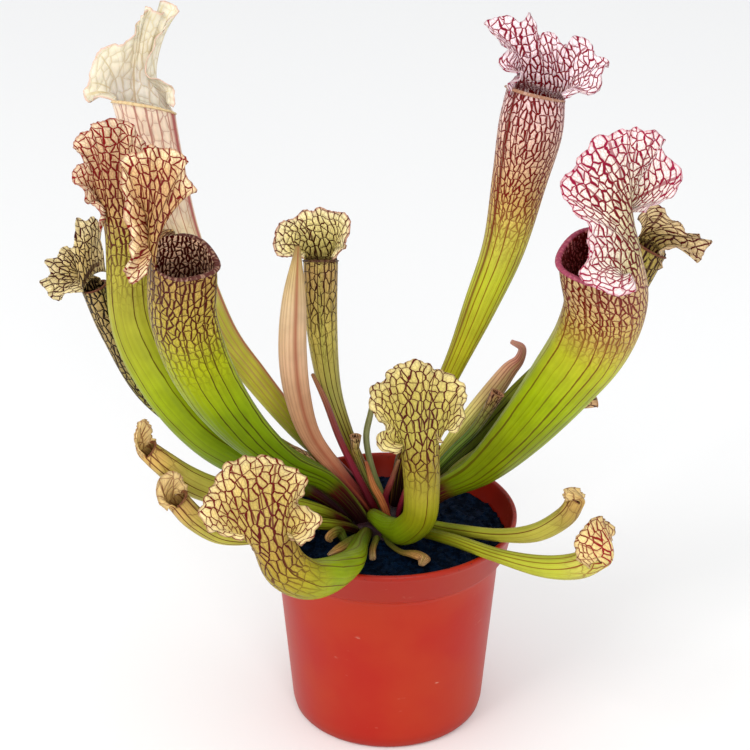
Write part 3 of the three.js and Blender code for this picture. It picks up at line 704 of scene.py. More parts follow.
class Skin:
    """A leaf's middle surface, which grows patch by patch and is then made a closed wall."""

    def __init__(self) -> None:
        """Starts with no vertices."""
        self.points: list[Array] = []
        self.walls: list[Array] = []
        self.facts: list[Array] = []
        self.count = 0
        self.faces: list[tuple[tuple[int, ...], Array, bool]] = []

    def add(self, points: Array, wall: Array, facts: Array) -> Array:
        """Adds vertices.

        Args:
            points: places, rows by columns by 3.
            wall: the wall's thickness at each vertex.
            facts: nine numbers for each vertex that the material reads.
        Returns:
            The vertices' numbers, rows by columns.
        """
        shape = points.shape[:-1]
        total = int(np.prod(shape))
        self.points.append(points.reshape(-1, 3))
        self.walls.append(np.broadcast_to(wall, shape).reshape(-1))
        self.facts.append(facts.reshape(-1, 3 * len(FACTS)))
        ids = np.arange(self.count, self.count + total).reshape(shape)
        self.count += total
        return ids

    def weave(self, ids: Array, facts: Array, walled: bool) -> None:
        """Makes faces between neighbouring rows and columns.

        Args:
            ids: vertex numbers, rows by columns.
            facts: the same grid's nine numbers, as read by the faces' corners.
            walled: whether these faces get an inner side too.
        """
        rows, columns = ids.shape
        for i in range(rows - 1):
            for j in range(columns - 1):
                corners = ((i, j), (i, j + 1), (i + 1, j + 1), (i + 1, j))
                seen: dict[int, tuple[int, int]] = {}
                for corner in corners:
                    seen.setdefault(int(ids[corner]), corner)
                if len(seen) > 2:
                    read = np.array([facts[corner] for corner in seen.values()])
                    self.faces.append((tuple(seen), read, walled))

    def cap(self, ring: Array, facts: Array, flip: bool) -> None:
        """Closes a ring with a fan of triangles about its middle."""
        middle = np.vstack(self.points)[ring].mean(axis=0)
        read = facts.mean(axis=0)
        centre = int(self.add(middle[None], np.array(WALL), read[None])[0])
        for j, here in enumerate(ring):
            there = ring[(j + 1) % len(ring)]
            start, end = (there, here) if flip else (here, there)
            self.faces.append(((int(start), int(end), centre), np.array([facts[j], facts[j], read]), False))

    def normals(self, points: Array) -> Array:
        """Gives the middle surface's normals at its vertices."""
        sums = np.zeros_like(points)
        for corners, _, _ in self.faces:
            first, second, *rest = (points[corner] - points[corners[0]] for corner in corners[1:])
            turn = np.cross(first, second)
            for third in rest:
                turn = turn + np.cross(second, third)
            sums[list(corners)] += turn
        return unit(sums)

    def close(self, floor: Array | None) -> tuple[Array, list, Array]:
        """Gives the walled faces their two sides and joins the sides at every free edge.

        Args:
            floor: the ring where the hollow ends, or None for a solid leaf.
        Returns:
            Places, faces and the nine numbers for each corner.
        """
        points = np.vstack(self.points)
        facts = np.vstack(self.facts)
        shift = self.normals(points) * (np.concatenate(self.walls) / 2.0)[:, None]
        walled = [face for face in self.faces if face[2]]
        used = sorted({corner for face in walled for corner in face[0]})
        inner = {corner: len(points) + k for k, corner in enumerate(used)}
        everything = np.vstack([points + shift, (points - shift)[used]]) if used else points + shift
        faces: list[tuple[int, ...]] = [corners for corners, _, _ in self.faces]
        reads: list[Array] = [read for _, read, _ in self.faces]
        edges: set[tuple[int, int]] = set()
        for corners, read, _ in walled:
            faces.append(tuple(inner[corner] for corner in reversed(corners)))
            reads.append(inside_facts(read[::-1]))
            edges.update(zip(corners, corners[1:] + corners[:1]))
        ring = set() if floor is None else {int(k) for k in floor}
        for start, end in edges:
            if (end, start) in edges or (start in ring and end in ring):
                continue
            faces.append((end, start, inner[start], inner[end]))
            reads.append(facts[[end, start, start, end]])
        if floor is not None:
            bottom = [inner[int(k)] for k in floor]
            centre = len(everything)
            everything = np.vstack([everything, everything[bottom].mean(axis=0)[None]])
            # The hollow's floor reads as the inner wall, so it takes the throat colour, painted shade on most
            # leaves.
            dark = inside_facts(facts[[int(floor[0])] * 3])
            for j, here in enumerate(bottom):
                faces.append((here, bottom[(j + 1) % len(bottom)], centre))
                reads.append(dark)
        return everything, faces, np.vstack(reads)


def pack_facts(*rows: Array) -> Array:
    """Packs what the material reads into nine numbers for each vertex.

    Args:
        rows: around, spread, from the edge, height, across, seam or minus lip, the place's two
            numbers in the net's plane, and stretch. Each is an array of rows by columns, or of 1
            where it stays the same.
    Returns:
        Rows by columns by 9.
    """
    shape = np.broadcast_shapes(*(row.shape for row in rows))
    return np.stack([np.broadcast_to(row, shape) for row in rows], axis=-1).copy()


def inside_facts(facts: Array) -> Array:
    """Copies the numbers of corners for the wall's inner side, where across is negative."""
    within = facts.copy()
    within[:, 4] *= -1.0
    return within


@dataclass(frozen=True)
class Mouth:
    """The ring where a tube ends, from which its lip and its hood grow."""

    ring: Array
    ids: Array
    angle: Array
    length: float
    centre: Array
    along: Array
    radius: float
    widest: float


@dataclass(frozen=True)
class Leaf:
    """One leaf, on its route from the rootstock.

    Angles are in degrees from the middle of the back. The mouth opens to the front, and
    foot_front is the same at the foot. Radii are half widths along the route, and flatness is
    depth against width. The hood stands on the ring's back, back_angle wide to each side, and
    bends over its heart to its margin in some broad waves. The keel is a ridge along the front,
    the seam a coloured line. The mouth is slanted from back to front and leans to a side, and
    the spout draws its front out. A loose leaf lies on the peat and replaces no CAD node.
    """

    name: str
    slot: str
    finish: LeafFinish
    size: Size
    front: Triple
    route: tuple[Triple, ...]
    radii: tuple[float, ...]
    back_angle: float = 90.0
    margin: tuple[Triple, ...] = ()
    heart: Triple = (0.0, 0.0, 0.0)
    keel: float = 0.0
    seam_at: float = 180.0
    seam_wide: float = 1.1
    slant: float = 0.0
    lean: float = 0.0
    spout: float = 0.0
    waves: int = 0
    flatness: float = 1.0
    foot_front: Triple | None = None
    loose: bool = False
    foot_swell: float = 1.1
    foot_reach: float = 0.16
    ruffle: Ruffle = Ruffle()

    def stations(self, share: Array) -> dict[str, Array]:
        """Gives place and directions of the leaf along its route.

        Args:
            share: places along the route, 0 at the foot.
        Returns:
            Arrays for centre, along, front, side and radius.
        """
        route = Curve(self.route)
        along = route.tangent(share)
        last = unit(np.array(self.front, float))
        first = unit(np.array(self.foot_front or self.front, float))
        front = first + (last - first) * ease(share)[:, None]
        front = unit(front - along * np.sum(front * along, axis=1, keepdims=True))
        radius = np.maximum(Curve(self.radii).at(share)[:, 0], 0.3)
        if self.size is not Size.TUBE:
            radius = radius + self.foot_swell * np.exp(-((share / self.foot_reach) ** 2))
        side = unit(np.cross(along, -front))
        return {"centre": route.at(share), "along": along, "front": front, "side": side, "radius": radius}

    def angles(self) -> Array:
        """Gives the ring's angles from the middle of the front round to it again."""
        fine = self.size.value
        root = math.radians(self.back_angle)
        half = fine.front // 2
        left = np.linspace(-math.pi, -root, half + 1)[:-1]
        back = np.linspace(-root, root, fine.back + 1)[:-1]
        right = np.linspace(root, math.pi, half + 1)
        return np.concatenate([left, back, right])

    def tube(self, share: Array, angle: Array) -> Array:
        """Gives the tube's middle surface.

        Args:
            share: places along the route, 0 at the foot.
            angle: the ring's angles.
        Returns:
            Rows by columns by 3.
        """
        keel_width, spout_width = 0.28, 0.55
        at = self.stations(share)
        from_front = math.pi - np.abs(angle)
        keel = self.keel * np.sin(math.pi * share) ** 0.7
        ridge = keel[:, None] * np.exp(-((from_front / keel_width) ** 2))[None, :]
        tilt = self.slant * np.cos(angle) + self.lean * np.sin(angle)
        lift = ease((share - 0.7) / 0.3)[:, None] * tilt[None, :]
        wander = 1.0 + 0.012 * np.sin(5.0 * angle + 2.0)[None, :] * np.sin(9.0 * share + 1.0)[:, None]
        sine = (np.sin(angle)[None, :] * wander)[..., None]
        cosine = (np.cos(angle)[None, :] * wander)[..., None] * self.flatness
        rows = at["centre"][:, None, :] + at["radius"][:, None, None] * (
            at["side"][:, None, :] * sine - at["front"][:, None, :] * cosine
        )
        beak = self.spout * ease((share - 0.86) / 0.14)[:, None]
        beak = beak * np.exp(-((from_front / spout_width) ** 2))[None, :]
        rows = rows + at["front"][:, None, :] * (ridge + beak)[..., None]
        return rows + at["along"][:, None, :] * lift[..., None]

    def hood(self, root: Array, along: Array, ruffled: bool) -> Array:
        """Gives the hood's middle surface above the ring's back.

        Args:
            root: the mouth's back arc.
            along: the tube's direction at the mouth.
            ruffled: whether the margin gets its ruffles.
        Returns:
            Rows by columns by 3, the root row left out.
        """
        share = np.linspace(0.0, 1.0, len(root))
        margin = Curve(self.margin)
        edge = margin.at(share)
        heart = np.array(self.heart, float)
        reach = np.linalg.norm(edge - root, axis=1, keepdims=True)
        up = root + along * reach * 0.4
        tucked = edge + (heart - edge) * 0.35
        rise = np.linspace(0.0, 1.0, self.size.value.hood + 1)[1:, None, None]
        arc = (
            (1 - rise) ** 3 * root + 3 * (1 - rise) ** 2 * rise * up
            + 3 * (1 - rise) * rise ** 2 * tucked + rise ** 3 * edge
        )
        if not ruffled:
            return arc
        outward = unit(edge - heart)
        normal = unit(np.cross(margin.tangent(share), outward))
        off, within = self.ruffle.offsets(share, rise[..., 0], self.waves)
        small = min(1.0, self.radii[-1] / 8.0)
        return arc + (normal * off[..., None] + outward * within[..., None]) * small

    def lip(self, ring: Array, mouth: Mouth) -> Array:
        """Gives the lip's middle surface, rolled outward.

        Args:
            ring: the part of the mouth's ring that gets a lip.
            mouth: the mouth.
        Returns:
            Rows by columns by 3, the ring's own row left out.
        """
        share = np.linspace(0.0, 1.0, len(ring))
        outward = ring - mouth.centre
        outward = unit(outward - mouth.along * (outward @ mouth.along)[:, None])
        full = (min(1.1, 0.11 * mouth.radius) * np.sin(math.pi * share) ** 0.6)[:, None]
        turn = np.linspace(0.0, math.radians(165.0), self.size.value.lip + 1)[1:, None, None]
        return ring + outward * full * (1.0 - np.cos(turn)) + mouth.along * full * np.sin(turn)

    def build(self, workshop: Workshop) -> bpy.types.Object:
        """Builds the whole leaf as one closed mesh.

        Args:
            workshop: the shared shader groups.
        Returns:
            The leaf's object.
        """
        fine = self.size.value
        skin = Skin()
        mouth, ids, facts = self.add_tube(skin)
        solid = fine.hollow > 1.0
        hollow = fine.rows if solid else int(fine.hollow * fine.rows)
        skin.weave(ids[:hollow + 1], facts[:hollow + 1], False)
        skin.weave(ids[hollow:], facts[hollow:], True)
        skin.cap(ids[0, :-1], facts[0, :-1], True)
        if solid:
            skin.cap(ids[-1, :-1], facts[-1, :-1], False)
            return self.finish_mesh(skin, None, workshop)
        if self.margin:
            self.add_hood(skin, mouth)
        self.add_lip(skin, mouth)
        return self.finish_mesh(skin, ids[hollow, :-1], workshop)

    def add_tube(self, skin: Skin) -> tuple[Mouth, Array, Array]:
        """Adds the tube's vertices to the skin.

        Returns:
            The mouth, the vertices' numbers and what they carry.
        """
        fine = self.size.value
        share = np.linspace(0.0, 1.0, fine.rows + 1)
        angle = self.angles()
        rings = self.tube(share, angle)
        at = self.stations(share)
        radius = at["radius"]
        steps = np.linalg.norm(np.diff(at["centre"], axis=0), axis=1)
        length = np.concatenate([[0.0], np.cumsum(steps)])
        widest = float(radius[-1]) if self.margin else float(np.max(radius))
        aside = np.abs((angle - math.radians(self.seam_at) + math.pi) % WHOLE_TURN - math.pi)
        seam = np.exp(-((aside * widest / self.seam_wide) ** 2))[None, :]
        top = LEAF_TOP if fine.hollow > 1.0 else 1.0
        dense = np.full((1, 1), self.finish.dense)
        tall = TUBE_STRETCH / dense
        facts = pack_facts(
            (angle * widest)[None, :], np.maximum(radius[:, None] / widest, 0.45),
            np.full((1, 1), FAR_FROM_EDGE), (length / length[-1])[:, None] * top, dense, seam,
            angle[None, :] * radius[:, None] * dense, length[:, None] / tall, tall,
        )
        ids = skin.add(rings[:, :-1], np.array(WALL), facts[:, :-1])
        ids = np.hstack([ids, ids[:, :1]])
        mouth = Mouth(
            rings[-1], ids[-1], angle, length[-1], at["centre"][-1], at["along"][-1], float(radius[-1]),
            widest,
        )
        return mouth, ids, facts

    def add_lip(self, skin: Skin, mouth: Mouth) -> None:
        """Adds the lip over the mouth's front, or all round a leaf that has no hood."""
        fine = self.size.value
        half = fine.front // 2
        order = list(range(len(mouth.angle)))
        if self.margin:
            order = order[half + fine.back:-1] + order[:half + 1]
        rolled = self.lip(mouth.ring[order], mouth)
        turned = mouth.angle[order].copy()
        if self.margin:
            turned[turned < 0.0] += WHOLE_TURN
        around = (turned * mouth.widest)[None, :]
        down = np.linspace(0.0, 3.0, fine.lip + 1)[:, None]
        dense = np.full((1, 1), self.finish.dense)
        tall = TUBE_STRETCH / dense
        one = np.ones((1, 1))
        facts = pack_facts(
            around, one, one * FAR_FROM_EDGE, one, dense, -np.minimum(down / 0.4, 1.0), around * dense,
            (mouth.length + down) / tall, tall,
        )
        ids = mouth.ids[order]
        if self.margin:
            new = skin.add(rolled[:, 1:-1], np.array(LIP_WALL), facts[1:, 1:-1])
            ends = np.repeat(ids[None, [0, -1]], fine.lip, axis=0)
            new = np.hstack([ends[:, :1], new, ends[:, 1:]])
        else:
            new = skin.add(rolled[:, :-1], np.array(LIP_WALL), facts[1:, :-1])
            new = np.hstack([new, new[:, :1]])
        skin.weave(np.vstack([ids[None], new]), facts, True)

    def add_hood(self, skin: Skin, mouth: Mouth) -> None:
        """Adds the hood above the back of the mouth."""
        fine = self.size.value
        half = fine.front // 2
        back = slice(half, half + fine.back + 1)
        root = mouth.ring[back]
        smooth = np.concatenate([root[None], self.hood(root, mouth.along, ruffled=False)])
        climb = np.linalg.norm(np.diff(smooth, axis=0), axis=2)
        climb = np.vstack([np.zeros((1, climb.shape[1])), np.cumsum(climb, axis=0)])
        wide = np.linalg.norm(np.diff(smooth, axis=1), axis=2)
        spread = wide.sum(axis=1, keepdims=True) / wide[0].sum()
        across = np.hstack([np.zeros((len(smooth), 1)), np.cumsum(wide, axis=1)])
        rise = np.linspace(0.0, 1.0, len(smooth))[:, None]
        sides = np.minimum(across, across[:, -1:] - across) + (1.0 - rise) * 6.0
        theta = mouth.angle[back][None, :] * mouth.radius
        depth = np.linspace(0.0, float(climb.max()) + 1.0, 240)
        shrunk = np.cumsum((depth[1] - depth[0]) / self.loosen(depth, mouth.radius)[1])
        dense, stretch = self.loosen(climb, mouth.radius)
        y = np.interp(climb, depth, shrunk) + mouth.length * self.finish.dense / TUBE_STRETCH
        facts = pack_facts(
            theta, spread, np.minimum(climb[-1:] - climb, sides), 1.0 + rise, dense * spread ** (FAN - 1.0),
            np.zeros((1, 1)), theta * spread ** FAN * dense, y, stretch,
        )
        rows = self.hood(root, mouth.along, ruffled=True)
        thin = HOOD_WALL - HOOD_THINNING * ease(rise)
        new = skin.add(rows, np.broadcast_to(thin[1:], rows.shape[:2]), facts[1:])
        skin.weave(np.vstack([mouth.ids[back][None], new]), facts, True)

    def loosen(self, climb: Array, radius: float) -> tuple[Array, Array]:
        """Gives the net's density and stretch on the hood, by the climb above the mouth."""
        dense = self.finish.dense + (HOOD_DENSE - self.finish.dense) * ease(climb / (4.0 * radius))
        stretch = TUBE_STRETCH + (HOOD_STRETCH - TUBE_STRETCH) * ease(climb / (3.2 * radius))
        return dense, stretch / dense

    def finish_mesh(self, skin: Skin, floor: Array | None, workshop: Workshop) -> bpy.types.Object:
        """Turns the grown skin into the leaf's object with its material and attributes.

        Args:
            skin: the leaf's whole surface.
            floor: the ring where the hollow ends, or None for a solid leaf.
            workshop: the shared shader groups.
        Returns:
            The object, tied to the frame.
        """
        points, faces, reads = skin.close(floor)
        material = self.finish.dress(self.name + "_skin", workshop)
        piece = mesh_object(self.name + "_fine", points, faces, material)
        for k, label in enumerate(FACTS):
            layer = piece.data.attributes.new(label, "FLOAT_VECTOR", "CORNER")
            layer.data.foreach_set("vector", reads[:, 3 * k:3 * k + 3].astype(np.float32).ravel())
        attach(piece, BODY)
        if not self.loose:
            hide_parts(self.name)
        return piece


# The dark crimson foot of most leaves, and what a leaf without a net of veins has in its stead.
CRIMSON_FOOT = ((0.0, "1c040e"), (0.12, "320a18"), (0.17, "4c1820"))
NO_NET = {"net_from": 3.0, "net_full": 4.0, "line_on_hood": 1.0, "fine": 0.0}

LIME_MAROON = LeafFinish(
    skin=(*CRIMSON_FOOT, (0.2, "607204"), (0.32, "688404"), (0.55, "88a004"), (0.72, "a8ae20"),
          (0.82, "b4a440"), (0.98, "b09050"), (1.15, "b09058"), (1.5, "bc9464"), (1.75, "d0ac7a"),
          (2.0, "f0deb4")),
    veins=((0.0, "3c4804"), (0.5, "484004"), (0.8, "501e04"), (1.0, "480a06"), (1.4, "580802"),
           (2.0, "800806")),
    net_from=0.6, net_full=0.85, cell=3.5, dense=1.35, width=0.78, lip="58302a", lip_strength=0.75,
    throat="ffd4b0", throat_share=0.95, seam="a8b838", rim="8c1c10", rim_strength=0.6,
)
LIME_PINK = LeafFinish(
    skin=(*CRIMSON_FOOT, (0.2, "607004"), (0.4, "728a04"), (0.6, "98a80c"), (0.75, "acae34"),
          (0.98, "b4a448"), (1.2, "c09c64"), (1.5, "c49c70"), (1.75, "d8b890"), (2.0, "f0dcbc")),
    veins=((0.0, "485404"), (0.6, "5c4c04"), (0.95, "501804"), (1.3, "600a02"), (1.7, "7c0808"),
           (2.0, "900c10")),
    net_from=0.8, net_full=1.02, cell=3.3, dense=1.3, width=0.8, rim="8c1410", rim_strength=0.6,
)
BROWN_BLACK = LeafFinish(
    skin=(*CRIMSON_FOOT, (0.25, "5f7006"), (0.6, "8c8c2a"), (0.8, "a49060"), (1.0, "bca068"),
          (1.5, "ccb478"), (2.0, "e8d8a8")),
    veins=((0.0, "302c04"), (0.6, "301404"), (1.0, "240602"), (2.0, "480e04")),
    net_from=0.35, net_full=0.6, cell=2.9, dense=1.3, width=0.72, spacing=3.0, rim_strength=0.2,
)
CREAM_PEACH = LeafFinish(
    skin=(*CRIMSON_FOOT, (0.24, "7c8218"), (0.35, "b8b03c"), (0.55, "c8c050"), (0.68, "dccc94"),
          (0.78, "f0d8bc"), (0.98, "f4dcc4"), (1.05, "fffcec"), (1.25, "fffaf0"), (1.5, "f4ecd8"),
          (2.0, "e8e0c8")),
    veins=((0.0, "7c7420"), (0.6, "b4845c"), (0.8, "ac5440"), (1.0, "a04840"), (1.1, "ccb080"),
           (2.0, "ccbc88")),
    net_from=0.66, net_full=0.85, cell=5.0, dense=1.2, fine=0.1, width=0.5, net_strength=0.5, spacing=5.5,
    line_strength=0.7, line_width=0.7, rim="e09490", throat_share=0.0, lip="dcc088",
    seam="a01824", seam_strength=1.0,
)
OLIVE_BROWN = LeafFinish(
    skin=(*CRIMSON_FOOT, (0.2, "6e321c"), (0.34, "a0903c"), (0.5, "b4ac5c"), (0.7, "ccbc60"),
          (0.96, "b89860"), (1.05, "c4b064"), (1.3, "dccc7c"), (1.7, "f4e4a0"), (2.0, "f4e4b8")),
    veins=((0.0, "443404"), (0.5, "482804"), (0.9, "3c1004"), (1.3, "401804"), (2.0, "5c1404")),
    net_from=0.55, net_full=0.85, cell=3.2, dense=1.2, spacing=3.4, width=0.54, line_width=0.5, lip="4a2c22",
    rim="982040", rim_strength=0.6,
)
ROSE_CRIMSON = LeafFinish(
    skin=(*CRIMSON_FOOT, (0.22, "7c8218"), (0.32, "b4ac28"), (0.6, "bcc038"), (0.7, "d0c454"),
          (0.78, "d8b46c"), (0.86, "e4bc98"), (0.98, "f0cfca"), (1.2, "fce4e8"), (2.0, "ffecf0")),
    veins=((0.0, "908820"), (0.55, "846014"), (0.72, "782004"), (0.85, "700808"), (1.0, "700412"),
           (2.0, "8c0438")),
    net_from=0.6, net_full=0.8, cell=3.1, width=0.76, spacing=3.6, line_width=0.68,
    rim="5c3440", lip="b08468", seam="6a4020", seam_strength=1.0,
    throat_share=0.5, throat="fce4e4",
)
ROSE_MAGENTA = LeafFinish(
    skin=(*CRIMSON_FOOT, (0.2, "687804"), (0.35, "86940c"), (0.55, "98aa0c"), (0.7, "b4b430"),
          (0.78, "bca44c"), (0.95, "ccac7c"), (1.12, "c8bc84"), (1.35, "d4c8a0"), (1.6, "e8dccc"),
          (2.0, "f0dcdc")),
    veins=((0.0, "54540a"), (0.55, "604c04"), (0.75, "702c04"), (0.9, "6c1404"), (1.2, "600c0c"),
           (1.5, "700420"), (2.0, "980440")),
    net_from=0.66, net_full=0.86, cell=3.5, width=0.86, line_width=0.8, rim="a81448",
    rim_strength=0.5, lip="a04860", throat="f08898", throat_share=0.8,
)
BROWN_GREEN = LeafFinish(
    skin=(*CRIMSON_FOOT, (0.2, "4a5a0c"), (0.6, "74781c"), (0.85, "a08c44"), (1.2, "ac945c"),
          (2.0, "dcc498")),
    veins=((0.0, "303404"), (0.7, "341804"), (1.0, "340802"), (2.0, "580e06")),
    net_from=0.6, net_full=0.8, cell=3.2, dense=1.2, width=0.68, spacing=3.2,
)
CREAM_YELLOW = LeafFinish(
    skin=((0.0, "3a1410"), (0.14, "4a3a10"), (0.26, "6c8412"), (0.48, "7c9018"), (0.64, "949424"),
          (0.8, "a49838"), (1.0, "a08c3c"), (1.25, "a89c4c"), (1.6, "b6a656"), (1.8, "c8b66e"),
          (2.0, "dccc90")),
    veins=((0.0, "444c04"), (0.6, "603c04"), (1.0, "4c1c04"), (1.5, "4c1404"), (2.0, "581002")),
    net_from=0.72, net_full=1.0, cell=3.4, dense=1.15, width=0.56, line_width=0.5, fine=0.25, rim="7c3c24",
)
CREAM_MAROON = LeafFinish(
    skin=((0.0, "3a1410"), (0.14, "484410"), (0.3, "5c7014"), (0.5, "80920e"), (0.72, "90a214"),
          (0.86, "a09030"), (1.0, "a48840"), (1.2, "a8904c"), (1.55, "b8a058"), (1.8, "d0b878"),
          (2.0, "e4d29a")),
    veins=((0.0, "444c04"), (0.6, "603c04"), (0.95, "501804"), (1.4, "5a0c02"), (2.0, "6c0e04")),
    net_from=0.7, net_full=0.98, cell=3.4, dense=1.15, width=0.6, line_width=0.54, fine=0.25, rim="842c20",
    rim_strength=0.6,
)
SALMON_STRIPED = LeafFinish(
    skin=((0.0, "1c040e"), (0.24, "4c1020"), (0.38, "94403c"), (0.56, "d4906c"), (0.9, "e0a880"),
          (1.25, "e8bc98"), (1.6, "e8c8a0"), (1.85, "dcc088"), (2.0, "c0a268")),
    veins=((0.0, "5c1c18"), (0.6, "9c5c40"), (1.4, "b07c5c"), (2.0, "8c5c34")),
    spacing=2.0, line_width=0.36, line_strength=0.4, seam="9a4428", seam_strength=0.8, **NO_NET,
)
RED_STALK = LeafFinish(
    skin=((0.0, "1c040e"), (0.34, "4c0e1e"), (1.0, "8c2c3c"), (1.5, "9c544c"), (2.0, "a87c54")),
    veins=((0.0, "2c080c"), (2.0, "6c2420")),
    spacing=1.4, line_width=0.25, line_strength=0.5, seam="74141c", **NO_NET,
)
ORANGE_STALK = replace(
    RED_STALK, skin=((0.0, "30060e"), (0.3, "903830"), (0.7, "c86c44"), (1.5, "cc8450"), (2.0, "b46c48"))
)
BRONZE_STALK = LeafFinish(
    skin=(*CRIMSON_FOOT, (0.2, "64502c"), (0.6, "94904c"), (0.85, "b89c54"), (1.0, "c8a078"),
          (2.0, "c89c70")),
    veins=((0.0, "2c1008"), (2.0, "501c10")),
    net_from=0.7, net_full=0.95, cell=2.0, dense=1.0, width=0.3, spacing=1.4, line_width=0.3, fine=0.0,
    throat_share=0.0, lip="b08058",
)
GREEN_STALK = replace(
    BRONZE_STALK, skin=(*CRIMSON_FOOT, (0.2, "34441c"), (0.7, "5c7830"), (0.88, "908450"), (1.0, "b07c60"))
)
GREEN_BLADE = LeafFinish(
    skin=(*CRIMSON_FOOT, (0.3, "845c38"), (0.45, "b4a840"), (0.7, "d8d260"), (1.1, "e4d880"),
          (1.5, "e8bc90"), (1.75, "e09c88"), (2.0, "f0b8a8")),
    veins=((0.0, "5c5010"), (1.0, "7c6c20"), (1.6, "8c4838"), (2.0, "b05a54")),
    spacing=1.8, line_width=0.35, line_strength=0.6, **NO_NET,
)
GREY_BLADE = LeafFinish(
    skin=(*CRIMSON_FOOT, (0.3, "727838"), (1.2, "94986a"), (2.0, "aca470")),
    veins=((0.0, "34300c"), (2.0, "4c4420")),
    spacing=1.4, line_width=0.25, line_strength=0.5, **NO_NET,
)
DRY_BLADE = LeafFinish(
    skin=((0.0, "2c2810"), (0.5, "4c5c1c"), (1.2, "6c7030"), (1.45, "987c40"), (1.7, "c89458"),
          (2.0, "e0b884")),
    veins=((0.0, "2c1808"), (2.0, "6c4420")),
    net_from=0.5, net_full=0.9, cell=1.8, dense=1.0, width=0.2, net_strength=0.4, spacing=1.2,
    line_width=0.25, line_strength=0.6, line_on_hood=1.0, fine=0.0, roughness=0.7,
)
BEIGE_STRIPED = LeafFinish(
    skin=(*CRIMSON_FOOT, (0.25, "889028"), (0.6, "b4b040"), (0.85, "bcb050"), (0.97, "c09c58"),
          (1.3, "c8a464"), (2.0, "e4c88c")),
    veins=((0.0, "545404"), (0.7, "602c04"), (0.9, "581004"), (2.0, "742010")),
    net_from=0.8, net_full=1.0, cell=4.4, dense=1.0, width=0.5, net_strength=0.6, spacing=2.2,
    line_width=0.5, fine=0.1,
)
CREAM_STRIPED = LeafFinish(
    skin=(*CRIMSON_FOOT, (0.25, "6c7418"), (0.5, "a8aa34"), (0.85, "b6b840"), (1.0, "c4b864"),
          (1.4, "dcc484"), (2.0, "e0c488")),
    veins=((0.0, "6c6c18"), (0.8, "7c5c1c"), (0.95, "801c18"), (1.3, "981828"), (2.0, "703018")),
    net_from=0.85, net_full=1.02, cell=3.0, dense=1.0, spacing=2.8, line_width=0.55, fine=0.2,
)

